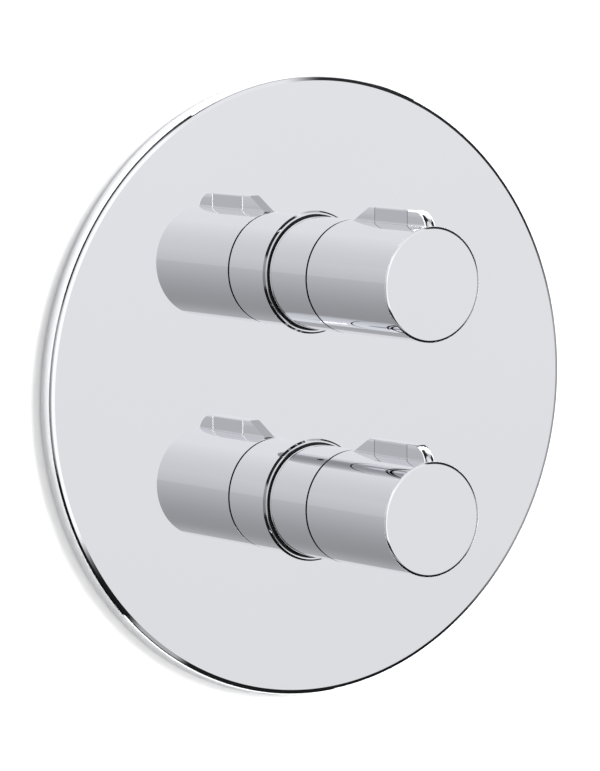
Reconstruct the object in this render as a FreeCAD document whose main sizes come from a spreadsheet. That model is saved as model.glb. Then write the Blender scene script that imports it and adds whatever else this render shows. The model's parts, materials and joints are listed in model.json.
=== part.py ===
import FreeCAD, Part
import math
import os
from types import SimpleNamespace

import Sketcher

# A concealed thermostatic shower valve: a round cover plate on the wall with two equal
# knobs above each other, and the brass valve that they turn, behind the wall.
#
# Millimetres. The origin is the middle of the cover plate, in the plane of the finished
# wall. The knobs point along -Y, out of the wall, and +Z is up. The upper knob opens and
# closes the water, the lower one sets its temperature.

# ---------------------------------------------------------------- driving dimensions

SIZES = [
    # cover plate
    ("plate_diameter", 220.0, "cover plate, across the edge of its front face"),
    ("plate_depth", 6.0, "wall to the front face of the plate"),
    ("plate_wall", 1.5, "sheet thickness of the plate"),
    ("plate_edge", 2.0, "rounding of the front edge"),
    ("plate_flare", 0.7, "how much wider the rim is at the wall"),
    ("rim_gap", 0.4, "rim to wall, taken up by the foam seal"),
    ("foam_width", 6.0, "foam seal, across its ring"),
    ("foam_inset", 2.0, "rim to foam seal"),
    # knobs, as seen
    ("knob_spacing", 81.0, "upper knob to lower knob, between axes"),
    ("knob_diameter", 40.0, "handles and fixed sleeves"),
    ("knob_reach", 71.0, "plate to the front faces of the handles"),
    ("knob_edge", 0.8, "rounding at the rim of the front face"),
    ("seam_reach", 24.0, "plate to the seam between sleeve and handle"),
    ("seam_gap", 0.5, "width of that seam"),
    # collar ring and its seal, where a sleeve passes through the plate
    ("ring_diameter", 43.6, "collar ring, outside"),
    ("ring_proud", 1.0, "height of the collar ring on the plate"),
    ("ring_edge", 0.8, "rounding of the collar ring"),
    ("ring_spigot_wall", 0.7, "collar ring, thickness inside the plate"),
    ("ring_spigot_reach", 1.0, "collar ring, past the back of the plate"),
    ("seal_thickness", 0.5, "rubber between sleeve and collar ring"),
    ("seal_recess", 0.4, "front of the rubber, behind the front of the ring"),
    ("seal_flange_width", 2.2, "rubber behind the plate, across its flange"),
    ("seal_flange_thickness", 1.4, "rubber behind the plate, thickness"),
    # fixed sleeve
    ("sleeve_wall", 1.6, "sleeve, wall"),
    ("sleeve_end_wall", 2.0, "sleeve, thickness of its front wall"),
    ("sleeve_end_hole", 25.0, "hole in that wall, round the nose"),
    ("spigot_length", 2.8, "spigot that centres the handle"),
    ("spigot_wall", 1.2, "spigot, wall"),
    ("spigot_clearance", 0.4, "spigot to handle, radial"),
    ("sleeve_thread_length", 9.7, "threaded end of the sleeve"),
    # handle
    ("handle_wall", 2.2, "handle, wall of its open end"),
    ("handle_cavity", 9.75, "handle, depth of its open end"),
    ("handle_face", 5.0, "handle, thickness of its front"),
    ("insert_diameter", 24.2, "splined insert"),
    ("insert_clearance", 0.1, "insert to handle, radial"),
    ("insert_flange_diameter", 34.4, "insert, flange in the open end"),
    ("insert_flange", 1.8, "insert, thickness of that flange"),
    ("grub_diameter", 4.8, "grub screw"),
    ("grub_length", 7.1, "grub screw"),
    ("grub_clearance", 0.1, "grub screw to its hole, radial"),
    ("grub_setback", 27.0, "front face to the grub screw"),
    ("grub_hex", 2.5, "grub screw, socket across flats"),
    ("grub_hex_depth", 3.0, "grub screw, socket depth"),
    ("grub_recess", 0.7, "grub screw, below the surface of the handle"),
    # lever tab on the handle, measured back from the front face
    ("tab_height", 5.3, "tab above the handle"),
    ("tab_setback", 0.4, "front face to the foot of the tab"),
    ("tab_nose", 7.0, "length of the rounded nose"),
    ("tab_front_taper", 3.8, "length that narrows towards the nose"),
    ("tab_waist", 19.2, "length of the straight flanks"),
    ("tab_rear_taper", 3.6, "length that narrows towards the ramp"),
    ("tab_ramp", 9.5, "length of the ramp at the back"),
    ("tab_width", 5.2, "width between the flanks, on top"),
    ("tab_end_width", 4.0, "width of the ends, on top"),
    ("tab_foot_width", 10.6, "width of the foot, where it flares out"),
    ("tab_root", 1.2, "how deep the tab is rooted in the handle"),
    # stops that limit the turn
    ("nose_diameter", 17.6, "nose of both cartridges"),
    ("nose_reach", 6.5, "nose past the front of the sleeve"),
    ("stop_thickness", 3.3, "stop ring, along the axis"),
    ("stop_hub_diameter", 26.0, "stop ring, full round part"),
    ("stop_lug_diameter", 33.6, "stop ring, across its lug"),
    ("stop_clearance", 0.05, "stop ring to nose, radial"),
    ("finger_inner", 28.0, "insert finger, inner diameter"),
    ("finger_outer", 33.0, "insert finger, outer diameter"),
    ("finger_angle", 24.0, "insert finger, degrees"),
    ("finger_length", 4.4, "insert finger, past its flange"),
    ("stop_slack", 1.0, "degrees left at each stop"),
    ("flow_travel", 90.0, "upper knob, degrees from shut to open"),
    ("hot_travel", 45.0, "lower knob, degrees from middle to hottest"),
    ("cold_travel", 135.0, "lower knob, degrees from middle to coldest"),
    # spindles
    ("spindle_diameter", 8.0, "both spindles"),
    ("press_play", 0.02, "pieces pressed together, radial"),
    ("running_fit", 0.06, "turning and sliding pieces, radial"),
    ("spindle_front", 25.0, "spindle past the nose"),
    ("spline_grip", 0.1, "spline to insert, radial"),
    ("spline_radius", 0.5, "groove between two splines"),
    ("spline_length", 16.0, "splined end of the spindles"),
    ("clip_diameter", 12.4, "spindle clip"),
    ("clip_thickness", 1.0, "spindle clip"),
    ("clip_groove", 0.6, "depth of the clip's groove"),
    ("clip_opening", 70.0, "opening of the clip, degrees"),
    ("insert_hold", 3.0, "insert past the tip of the spindle"),
    ("clip_play", 0.15, "clip to nose and to its groove"),
    ("o_ring_section", 0.8, "small O-rings"),
    ("groove_play", 0.3, "O-ring groove, wider than its ring"),
    ("o_ring_set", 40.0, "spindle O-ring, behind the front of the nose"),
    # towers of the valve body
    ("neck_diameter", 35.0, "threaded neck of a tower"),
    ("neck_front", 4.0, "wall plane to the mouth of a tower"),
    ("neck_back", 16.0, "wall plane to the shoulder behind the neck"),
    ("thread_clearance", 0.1, "threads, radial"),
    ("tower_diameter", 40.0, "tower behind the neck"),
    ("tower_back", 58.0, "wall plane to the back of the towers"),
    ("back_wall", 4.0, "thickness of the back of the towers"),
    ("seat_gap", 0.3, "faces that seat on each other"),
    # bridge between the towers, and its fixing bar
    ("bridge_diameter", 22.0, "bridge"),
    ("bridge_bore", 11.0, "water way in the bridge"),
    ("bridge_chamber", 20.0, "round chamber behind a cartridge"),
    ("bar_length", 86.0, "fixing bar"),
    ("bar_width", 18.0, "fixing bar"),
    ("bar_thickness", 5.0, "fixing bar"),
    ("bar_hole_spacing", 68.0, "fixing bar, hole to hole"),
    ("bar_hole_diameter", 5.5, "fixing bar, screw holes"),
    # inlets and outlet
    ("port_diameter", 25.0, "round part of the inlet and outlet arms"),
    ("port_hex", 27.0, "hexagon at their ends, across flats"),
    ("port_hex_length", 13.0, "hexagon, length"),
    ("port_bore", 18.6, "bore of the half-inch pipe thread"),
    ("port_thread_length", 13.0, "length of that thread"),
    ("inlet_reach", 62.0, "middle of the valve to the end of an inlet"),
    ("outlet_reach", 44.0, "upper tower's axis to the end of the outlet"),
    ("outlet_way", 13.0, "water way of the outlet"),
    ("check_bore", 16.0, "bore that holds a check valve"),
    ("check_bore_wall", 6.0, "check valve to the end of that bore"),
    ("check_shoulder", 0.6, "shoulder that a check valve seats on"),
    ("feed_bore", 6.4, "water way from a check valve to the cartridge"),
    # shut-off cartridge in the upper tower
    ("bush_thread", 21.0, "shut-off bush, thread"),
    ("bush_cage", 20.6, "shut-off bush, cage round the discs"),
    ("bush_flange_diameter", 30.0, "shut-off bush, flange on the mouth"),
    ("bush_flange", 2.0, "thickness of that flange"),
    ("bush_hex", 24.0, "shut-off bush, across flats"),
    ("bush_hex_length", 6.0, "shut-off bush, hexagon"),
    ("bush_seal_set", 9.0, "mouth of the tower to the bush's O-ring"),
    ("outlet_chamber", 28.0, "chamber round the cage"),
    ("outlet_chamber_front", 18.0, "wall plane to that chamber"),
    ("valve_seat", 36.0, "wall plane to the seat of the discs"),
    ("seat_bore", 10.8, "hole in the seat"),
    ("seat_wall", 6.0, "thickness of the seat"),
    ("disc_diameter", 16.2, "ceramic discs"),
    ("disc_fit", 0.08, "ceramic discs to the cage, radial"),
    ("disc_thickness", 3.0, "ceramic discs"),
    ("disc_gap", 0.05, "lapped faces of the discs"),
    ("disc_seal", 2.0, "rubber behind the fixed disc"),
    ("disc_seal_bore", 11.0, "rubber behind the fixed disc, hole"),
    ("disc_port_radius", 1.9, "port in a disc"),
    ("disc_port_circle", 7.2, "circle of the ports"),
    ("dog_width", 2.4, "dog that turns the moving disc"),
    ("dog_length", 12.0, "dog, across"),
    ("dog_height", 1.5, "dog, along the axis"),
    ("dog_clearance", 0.1, "dog to its slot"),
    ("cage_step", 14.0, "wall plane to the step in the bush"),
    ("cage_overlap", 1.0, "end of the cage, short of the seat"),
    ("window_width", 9.0, "windows in the cages"),
    ("bush_window_front", 19.5, "wall plane to the windows of the bush"),
    ("bush_window_length", 6.5, "windows of the bush, length"),
    ("flow_collar_diameter", 15.8, "collar of the flow spindle"),
    ("flow_collar", 4.0, "collar of the flow spindle, length"),
    ("flow_drive_diameter", 10.0, "end of the flow spindle behind its collar"),
    # thermostatic cartridge in the lower tower
    ("housing_diameter", 26.0, "cartridge housing"),
    ("housing_flange", 2.0, "cartridge housing, flange"),
    ("mouth_thread", 32.0, "thread in the mouth, for the retaining nut"),
    ("mouth_thread_depth", 8.0, "mouth to the shoulder that carries the housing"),
    ("nut_hex", 27.0, "retaining nut, across flats"),
    ("nut_hex_length", 7.0, "retaining nut, hexagon"),
    ("nut_bore_clearance", 0.2, "retaining nut to the nose, radial"),
    ("housing_end", 41.0, "wall plane to the back of the housing"),
    ("spring_bore", 17.6, "housing, bore round the drive nut's cup"),
    ("shuttle_bore", 22.0, "housing, bore of the shuttle"),
    ("hot_shoulder", 25.4, "wall plane to the hot seat"),
    ("cold_shoulder", 36.8, "wall plane to the cold seat, on the end cap"),
    ("port_ring_diameter", 30.0, "ring channels round the housing"),
    ("port_ring_width", 6.0, "ring channels, width"),
    ("hot_port", 25.2, "wall plane to the middle of the hot channel"),
    ("cold_port", 35.4, "wall plane to the middle of the cold channel"),
    ("port_window", 2.0, "windows of the housing, length"),
    ("housing_o_ring_section", 1.1, "O-rings of the housing"),
    ("front_o_ring", 18.5, "wall plane to the front O-ring"),
    ("back_o_ring", 39.6, "wall plane to the back O-ring"),
    ("hex_way_front", 8.0, "hexagonal way of the drive nut, front, before the wall"),
    ("hex_way_back", 12.0, "hexagonal way, back, behind the wall plane"),
    ("drive_hex", 12.0, "drive nut, across flats"),
    ("drive_hex_fit", 0.08, "drive nut to its way"),
    ("drive_hex_front", 1.5, "drive nut, front, before the wall"),
    ("drive_thread", 7.0, "thread of the temperature spindle"),
    ("drive_thread_end", 8.5, "wall plane to the end of that thread"),
    ("drive_bore_end", 11.0, "wall plane to the end of the nut's thread"),
    ("thrust_collar_diameter", 11.6, "collar of the temperature spindle"),
    ("thrust_collar", 2.6, "collar of the temperature spindle, length"),
    ("cup_diameter", 16.8, "drive nut, spring cup"),
    ("cup_front", 13.0, "wall plane to the front of the cup"),
    ("cup_floor", 2.0, "cup, floor"),
    ("cup_wall", 0.8, "cup, wall"),
    ("cup_back", 24.6, "wall plane to the open end of the cup"),
    ("cup_groove", 0.35, "cup, depth of the clip's groove"),
    ("overload_length", 6.6, "overload spring, as fitted"),
    ("overload_diameter", 13.2, "overload spring, middle of the wire"),
    ("overload_wire", 1.2, "overload spring, wire"),
    ("overload_turns", 3.0, "overload spring, turns"),
    ("plunger_diameter", 14.8, "overload plunger"),
    ("plunger_flange", 1.4, "overload plunger, flange"),
    ("plunger_boss_diameter", 6.0, "overload plunger, boss"),
    ("plunger_boss", 5.1, "overload plunger, boss length"),
    ("plunger_socket", 5.0, "overload plunger, depth of the pin's socket"),
    ("retainer_thickness", 0.8, "plunger retainer"),
    ("retainer_bore", 12.8, "plunger retainer, hole"),
    ("pin_diameter", 3.0, "pin of the wax element"),
    ("pin_back", 30.0, "wall plane to the end of the pin"),
    ("element_front", 24.3, "wall plane to the front of the wax element"),
    ("element_neck", 6.4, "wax element, neck"),
    ("element_flange_diameter", 12.8, "wax element, flange"),
    ("element_flange", 1.7, "wax element, flange thickness"),
    ("element_bore_end", 33.0, "wall plane to the end of the pin's bore"),
    ("bulb_diameter", 10.4, "wax element, bulb"),
    ("bulb_end", 43.0, "wall plane to the tip of the bulb"),
    ("bulb_taper", 3.0, "wax element, taper of the tip"),
    ("shuttle_front", 26.1, "wall plane to the front edge of the shuttle"),
    ("shuttle_length", 8.0, "shuttle"),
    ("shuttle_fit", 0.08, "shuttle to its bore, radial"),
    ("shuttle_wall", 1.5, "shuttle, wall"),
    ("shuttle_web", 2.0, "shuttle, web"),
    ("shuttle_web_front", 29.0, "wall plane to the web"),
    ("shuttle_hole_radius", 1.2, "shuttle, flow holes"),
    ("shuttle_hole_circle", 14.8, "shuttle, circle of the flow holes"),
    ("return_diameter", 15.8, "return spring, middle of the wire"),
    ("return_wire", 1.0, "return spring, wire"),
    ("return_turns", 3.5, "return spring, turns"),
    ("return_seat", 2.2, "end cap, depth of the spring's seat"),
    ("cap_bore", 13.2, "end cap, water way"),
    ("cap_flange", 2.0, "end cap, flange"),
    # check valves and strainers in the inlets
    ("check_diameter", 15.8, "check valve housing"),
    ("check_length", 16.0, "check valve housing"),
    ("check_inset", 3.0, "foot of an inlet's thread to its check valve"),
    ("check_seat_wall", 2.0, "check valve, seat wall"),
    ("check_seat_hole", 7.6, "check valve, hole in the seat"),
    ("check_chamber", 12.0, "check valve, chamber"),
    ("spider_hole_radius", 1.2, "check valve, flow holes"),
    ("spider_hole_circle", 8.2, "check valve, circle of the flow holes"),
    ("poppet_diameter", 10.0, "poppet"),
    ("poppet_thickness", 1.5, "poppet"),
    ("poppet_stem", 3.0, "poppet, stem"),
    ("poppet_stem_past", 0.6, "poppet, stem past the spider"),
    ("poppet_rest_gap", 0.05, "poppet to its seat when shut"),
    ("check_spring_diameter", 5.6, "check spring, middle of the wire"),
    ("check_spring_wire", 0.6, "check spring, wire"),
    ("check_spring_turns", 3.0, "check spring, turns"),
    ("strainer_thickness", 1.2, "inlet strainer"),
    ("strainer_hole_radius", 1.3, "inlet strainer, holes"),
    ("strainer_circle", 9.6, "inlet strainer, circle of holes"),
]

document = FreeCAD.newDocument("ThermostaticShowerValve")
sheet = document.addObject("Spreadsheet::Sheet", "Sizes")
for row, (alias, number, meaning) in enumerate(SIZES, start=1):
    sheet.set(f"A{row}", meaning)
    sheet.set(f"B{row}", str(number))
    sheet.setAlias(f"B{row}", alias)
document.recompute()


class Size:
    """A length with its number and the formula that ties it to the sheet."""

    def __init__(self, number, formula=None):
        self.number = float(number)
        self.formula = formula or repr(float(number))

    def join(self, other, sign, number):
        return Size(number, f"({self.formula} {sign} {other.formula})")

    def __add__(self, other):
        other = as_size(other)
        return self.join(other, "+", self.number + other.number)

    def __sub__(self, other):
        other = as_size(other)
        return self.join(other, "-", self.number - other.number)

    def __mul__(self, other):
        other = as_size(other)
        return self.join(other, "*", self.number * other.number)

    def __truediv__(self, other):
        other = as_size(other)
        return self.join(other, "/", self.number / other.number)

    def __neg__(self):
        return Size(0) - self

    def __rsub__(self, other):
        return as_size(other) - self


def as_size(value):
    return value if isinstance(value, Size) else Size(value)


size = SimpleNamespace(
    **{alias: Size(sheet.get(alias), f"Sizes.{alias}") for alias, _, _ in SIZES}
)

# ---------------------------------------------------------------- shared places

ZERO = Size(0)
FULL_TURN = Size(360)
STEPS_PER_TURN = 4  # quarter turns of a spring
HEX_SIDES = 6
SPLINES = 10  # grooves round a spindle's front end
SHUTTLE_HOLES = 6
SPIDER_HOLES = 4
STRAINER_HOLES = 8
SAME = 1e-4  # two lengths in mm that differ by less are equal
WAY_OVERLAP = Size(3)  # how far crossing bars and ways run into each other
OVERCUT = Size(1)  # how far a drill or a joined bar runs past a face
WIRE_SIDES = 6  # a spring's wire is drawn as a prism
RING_SIDES = 8  # and so is a small rubber ring's section
CORNER_OVER_FLAT = 1 / math.sqrt(3)  # corner radius of a hexagon, over its width across flats
ALONG_X, ALONG_Y, ALONG_Z = (
    FreeCAD.Vector(1, 0, 0),
    FreeCAD.Vector(0, 1, 0),
    FreeCAD.Vector(0, 0, 1),
)
NO_TURN = FreeCAD.Rotation()
QUARTER_TURN = FreeCAD.Rotation(ALONG_Z, 90)

upper = size.knob_spacing / 2
lower = -upper
knob_radius = size.knob_diameter / 2
plate_front = -size.plate_depth
plate_back = plate_front + size.plate_wall
knob_front = plate_front - size.knob_reach
seam = plate_front - size.seam_reach
sleeve_front = seam + size.seam_gap / 2
handle_back = seam - size.seam_gap / 2
cavity_floor = handle_back - size.handle_cavity
insert_front = knob_front + size.handle_face
nose_front = sleeve_front - size.nose_reach
stem_radius = size.spindle_diameter / 2
stem_bore = stem_radius + size.running_fit
spindle_tip = nose_front - size.spindle_front
neck_radius = size.neck_diameter / 2
sleeve_bore = knob_radius - size.sleeve_wall
disc_face = size.valve_seat - size.disc_seal - size.disc_thickness
inlet_axis = (size.hot_port + size.cold_port) / 2
outlet_axis = size.neck_back + size.port_diameter / 2 + size.seat_gap
chamber_back = size.tower_back - size.back_wall
bridge_axis = (size.valve_seat + size.seat_wall + chamber_back) / 2
cap_seat = size.housing_end + size.cap_flange
bar_front = size.tower_back - size.bar_thickness
check_outer = size.inlet_reach - size.port_thread_length - size.check_inset
check_bore_end = check_outer - size.check_length - size.check_bore_wall

sub_parts = []

# ---------------------------------------------------------------- building blocks


def bind(thing, prop, value):
    """Ties a property to the sheet, where its value comes from there."""
    if "Sizes." in as_size(value).formula:
        thing.setExpression(prop, value.formula)


def place(thing, x=0, y=0, z=0, rotation=None):
    """Puts a piece where the sheet says."""
    spot = [as_size(value) for value in (x, y, z)]
    base = FreeCAD.Vector(*(value.number for value in spot))
    thing.Placement = FreeCAD.Placement(base, rotation or FreeCAD.Rotation())
    for letter, value in zip("xyz", spot):
        bind(thing, f"Placement.Base.{letter}", value)
    return thing


def origin_plane(body, role):
    return next(part for part in body.Origin.OriginFeatures if part.Role == role)


def outline(body, name, role, points, height=ZERO):
    """A closed outline of straight lines, each corner tied to the sheet."""
    sketch = body.newObject("Sketcher::SketchObject", name)
    sketch.AttachmentSupport = [(origin_plane(body, role), "")]
    sketch.MapMode = "FlatFace"
    sketch.AttachmentOffset = FreeCAD.Placement(ALONG_Z * height.number, FreeCAD.Rotation())
    bind(sketch, "AttachmentOffset.Base.z", height)
    corners = [tuple(as_size(value) for value in point) for point in points]
    spots = [FreeCAD.Vector(across.number, up.number, 0) for across, up in corners]
    ends = spots[1:] + spots[:1]
    sketch.addGeometry([Part.LineSegment(a, b) for a, b in zip(spots, ends)])
    count = len(corners)
    rules = [
        Sketcher.Constraint("Coincident", line, 2, (line + 1) % count, 1)
        for line in range(count)
    ]
    ties = []
    for line, corner in enumerate(corners):
        for kind, value in zip(("DistanceX", "DistanceY"), corner):
            ties.append((len(rules), value))
            rules.append(Sketcher.Constraint(kind, -1, 1, line, 1, value.number))
    sketch.addConstraint(rules)
    for rule, value in ties:
        if "Sizes." in value.formula:
            sketch.setExpression(f"Constraints[{rule}]", value.formula)
    return sketch


def turned_body(label, profile, angle=FULL_TURN):
    """A piece turned about the Y axis from (along, radius) points, from +Z towards +X."""
    body = document.addObject("PartDesign::Body", label)
    sketch = outline(body, f"{label}_profile", "YZ_Plane", profile)
    turn = body.newObject("PartDesign::Revolution", f"{label}_turn")
    turn.Profile = sketch
    turn.ReferenceAxis = (sketch, ["H_Axis"])
    turn.Angle = angle.number
    bind(turn, "Angle", angle)
    document.recompute()
    return body


def round_rims(body, radius, rims, feature="PartDesign::Fillet"):
    """Rounds or chamfers the circles at (along, radius) of a turned body."""
    base = body.Tip
    names = []
    for index, edge in enumerate(base.Shape.Edges, start=1):
        if not isinstance(edge.Curve, Part.Circle):
            continue
        for along, rim in rims:
            same_place = abs(edge.Curve.Center.y - as_size(along).number) < SAME
            same_size = abs(edge.Curve.Radius - as_size(rim).number) < SAME
            if same_place and same_size:
                names.append(f"Edge{index}")
    dressing = body.newObject(feature, f"{body.Name}_edge")
    dressing.Base = (base, names)
    prop = "Radius" if feature.endswith("Fillet") else "Size"
    bind(dressing, prop, radius)
    document.recompute()
    return body


def rod(name, radius, length, axis, x=0, y=0, z=0, seam=NO_TURN):
    """A round bar or a drill of this radius, starting at a point, along an axis.

    The seam of its round face can be turned away from what crosses it.
    """
    bar = document.addObject("Part::Cylinder", name)
    bind(bar, "Radius", radius)
    bind(bar, "Height", length)
    bar.Radius, bar.Height = as_size(radius).number, as_size(length).number
    return place(bar, x, y, z, FreeCAD.Rotation(ALONG_Z, axis) * seam)


def hex_bar(name, flats, length, axis, x=0, y=0, z=0):
    """A hexagonal bar of this width across flats."""
    bar = document.addObject("Part::Prism", name)
    bar.Polygon = HEX_SIDES
    bind(bar, "Circumradius", flats * CORNER_OVER_FLAT)
    bind(bar, "Height", length)
    return place(bar, x, y, z, FreeCAD.Rotation(ALONG_Z, axis))


def block(name, x_size, y_size, z_size, x=0, y=0, z=0):
    """A block, centred in X and Z, that starts at y."""
    box = document.addObject("Part::Box", name)
    bind(box, "Length", x_size)
    bind(box, "Width", y_size)
    bind(box, "Height", z_size)
    return place(box, x - x_size / 2, y, z - z_size / 2)


def fuse(name, *pieces):
    joined = document.addObject("Part::MultiFuse", name)
    joined.Shapes = list(pieces)
    return joined


def cut(name, base, *tools):
    left = document.addObject("Part::Cut", name)
    left.Base = base
    left.Tool = tools[0] if len(tools) == 1 else fuse(f"{name}_tools", *tools)
    return left


def common(name, base, tool):
    shared = document.addObject("Part::Common", name)
    shared.Base = base
    shared.Tool = tool
    return shared


def finish(thing, label):
    """Gives a sub-part its name and keeps it for writing."""
    thing.Label = label
    sub_parts.append(thing)
    return thing


def turned(label, profile, z=ZERO, **edges):
    """A sub-part that is one turned body on the axis of a knob."""
    body = turned_body(label, profile)
    if edges:
        round_rims(body, **edges)
    place(body, z=z)
    return finish(body, label)


def ring_of(name, circle, count, radius, length, axis, centre, first_angle=0.0):
    """Round holes on a circle about an axis through a point."""
    first, second = {
        "x": (ALONG_Y, ALONG_Z),
        "y": (ALONG_X, ALONG_Z),
    }["x" if axis.x else "y"]
    holes = []
    for step in range(count):
        angle = math.radians(first_angle + 360 * step / count)
        turn = first * math.cos(angle) + second * math.sin(angle)
        spot = [
            as_size(middle) + circle / 2 * part
            for middle, part in zip(centre, (turn.x, turn.y, turn.z))
        ]
        holes.append(rod(f"{name}_{step}", radius, length, axis, *spot))
    return holes


def o_ring(label, section, seat_radius, along, z):
    """A rubber ring that lies on a groove's floor. Its section is an octagon."""
    reach = section / 2 / math.cos(math.pi / RING_SIDES)
    corners = []
    for side in range(RING_SIDES):
        angle = 2 * math.pi * (side + 0.5) / RING_SIDES
        corners.append(
            (along + reach * math.cos(angle), seat_radius + section / 2 + reach * math.sin(angle))
        )
    ring = turned_body(label, corners)
    place(ring, z=z)
    return ring


def spring(label, mean_diameter, wire, length, turns, axis, x, y, z):
    """A coil spring between two seats: a pipe along a helix of tangent arcs."""
    mean_radius, wire_radius = mean_diameter.number / 2, wire.number / 2
    rise = (length.number - wire.number) / turns.number
    steps = round(turns.number * STEPS_PER_TURN)

    def on_helix(step):
        angle = 2 * math.pi * step / STEPS_PER_TURN
        spot = FreeCAD.Vector(
            mean_radius * math.cos(angle),
            mean_radius * math.sin(angle),
            wire_radius + rise * step / STEPS_PER_TURN,
        )
        heading = FreeCAD.Vector(
            -mean_radius * math.sin(angle), mean_radius * math.cos(angle), rise / (2 * math.pi)
        )
        return spot, heading.normalize()

    arcs = []
    for step in range(steps):
        arcs += tangent_arcs(*on_helix(step), *on_helix(step + 1))
    spine = Part.Wire([arc.toShape() for arc in arcs])
    start, heading = on_helix(0)
    outward = FreeCAD.Vector(start.x, start.y, 0).normalize()
    upward = heading.cross(outward)
    corners = []
    for side in range(WIRE_SIDES + 1):
        angle = 2 * math.pi * (side + 0.5) / WIRE_SIDES
        corners.append(
            start + (outward * math.cos(angle) + upward * math.sin(angle)) * wire_radius
        )
    section = Part.makePolygon(corners)
    pipe = Part.BRepOffsetAPI.MakePipeShell(spine)
    pipe.add(section)
    pipe.build()
    pipe.makeSolid()
    coil = document.addObject("Part::Feature", label)
    coil.Shape = pipe.shape()
    place(coil, x, y, z, FreeCAD.Rotation(ALONG_Z, axis))
    return finish(coil, label)


def tangent_arcs(start, start_heading, end, end_heading):
    """Two arcs that meet smoothly and keep the headings at both ends."""
    across = end - start
    headings = start_heading + end_heading
    spread = 2 * (1 - start_heading.dot(end_heading))
    along = across.dot(headings)
    reach = (math.sqrt(along**2 + spread * across.dot(across)) - along) / spread
    meeting = (start + end + (start_heading - end_heading) * reach) / 2
    return [
        arc_between(start, start + start_heading * reach, meeting),
        arc_between(meeting, end - end_heading * reach, end),
    ]


def arc_between(start, corner, end):
    """The arc from start to end whose end tangents cross at corner."""
    middle = (start + end) / 2
    half_chord = (end - start).Length / 2
    bend = math.atan2((corner - middle).Length, half_chord)
    crown = middle + (corner - middle).normalize() * half_chord * math.tan(bend / 2)
    return Part.Arc(start, crown, end)


def lies_below(bore, section):
    """Radius of a groove's floor, so that its O-ring just fills up to the bore."""
    return bore - section - size.press_play


# ---------------------------------------------------------------- cover plate and trim


def cover_plate():
    """A pressed plate: flat front, rounded edge, and a rim that opens towards the wall."""
    edge = size.plate_diameter / 2
    rim = edge + size.plate_flare
    disc = turned_body(
        "plate_disc",
        [
            (plate_front, 0),
            (plate_front, edge),
            (-size.rim_gap, rim),
            (-size.rim_gap, rim - size.plate_wall),
            (plate_back, edge - size.plate_wall),
            (plate_back, 0),
        ],
    )
    round_rims(disc, size.plate_edge, [(plate_front, edge)])
    holes = [
        rod(f"plate_hole_{z.number:.0f}", spigot_radius + size.press_play,
            size.plate_wall + OVERCUT * 2, ALONG_Y, 0, plate_front - OVERCUT, z)
        for z in (upper, lower)
    ]
    finish(cut("cover_plate", disc, *holes), "cover_plate")


def wall_gasket():
    """The foam ring behind the rim, which closes the gap to the wall."""
    outside = size.plate_diameter / 2 - size.plate_wall - size.foam_inset
    inside = outside - size.foam_width
    turned("wall_gasket", [(plate_back, inside), (plate_back, outside), (0, outside), (0, inside)])


seal_inner = knob_radius + size.press_play
seal_outer = seal_inner + size.seal_thickness
ring_bore = seal_outer + size.press_play
spigot_radius = ring_bore + size.ring_spigot_wall
spigot_end = plate_back + size.ring_spigot_reach


def collar_ring(label, z):
    """The polished ring round a sleeve, with a spigot through the plate."""
    front = plate_front - size.ring_proud
    outside = size.ring_diameter / 2
    profile = [
        (front, ring_bore),
        (front, outside),
        (plate_front, outside),
        (plate_front, spigot_radius),
        (spigot_end, spigot_radius),
        (spigot_end, ring_bore),
    ]
    turned(label, profile, z, radius=size.ring_edge, rims=[(front, outside)])


def collar_seal(label, z):
    """The rubber that grips the sleeve and hooks behind the collar ring."""
    front = plate_front - size.ring_proud + size.seal_recess
    flange = seal_outer + size.seal_flange_width
    back = spigot_end + size.seal_flange_thickness
    profile = [
        (front, seal_inner),
        (front, seal_outer),
        (spigot_end, seal_outer),
        (spigot_end, flange),
        (back, flange),
        (back, seal_inner),
    ]
    turned(label, profile, z)


cavity_radius = knob_radius - size.handle_wall


def sleeve(label, z):
    """The fixed sleeve: screwed on the tower's neck behind, a centring spigot in front."""
    spigot = cavity_radius - size.spigot_clearance
    tip = sleeve_front - size.spigot_length
    wall_back = sleeve_front + size.sleeve_end_wall
    hole = size.sleeve_end_hole / 2
    thread = neck_radius + size.thread_clearance
    thread_back = size.neck_back - size.seat_gap
    thread_front = thread_back - size.sleeve_thread_length
    profile = [
        (wall_back, hole),
        (sleeve_front, hole),
        (sleeve_front, spigot - size.spigot_wall),
        (tip, spigot - size.spigot_wall),
        (tip, spigot),
        (sleeve_front, spigot),
        (sleeve_front, knob_radius),
        (thread_back, knob_radius),
        (thread_back, thread),
        (thread_front, thread),
        (thread_front, sleeve_bore),
        (wall_back, sleeve_bore),
    ]
    turned(label, profile, z)


# ---------------------------------------------------------------- handles


def tab_section(body, name, height, rear, nose, waist, end):
    """One level of the lever tab, seen from above: long, with narrowed ends."""
    waist_rear = waist_front + size.tab_waist
    points = [
        (end / 2, nose),
        (waist / 2, waist_front),
        (waist / 2, waist_rear),
        (end / 2, rear),
        (-end / 2, rear),
        (-waist / 2, waist_rear),
        (-waist / 2, waist_front),
        (-end / 2, nose),
    ]
    return outline(body, name, "XY_Plane", points, height)


nose_foot = knob_front + size.tab_setback
nose_top = nose_foot + size.tab_nose
waist_front = nose_top + size.tab_front_taper
ramp_top = waist_front + size.tab_waist + size.tab_rear_taper

# Levels of the tab from its root to its top: height as a share of the tab's height, how far
# the nose has drawn back as a share of its length, and how much of the foot's flare is left.
TAB_LEVELS = [
    (0.0, 0.0, 0.45),
    (0.32, 0.05, 0.14),
    (0.68, 0.27, 0.04),
    (0.92, 0.61, 0.01),
    (1.0, 1.0, 0.0),
]
ROOT_END_FLARE = 0.2  # share of the flare at the ends of the root, inside the handle
LEVEL_END_FLARE = 0.2  # and at the ends of a level


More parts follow.
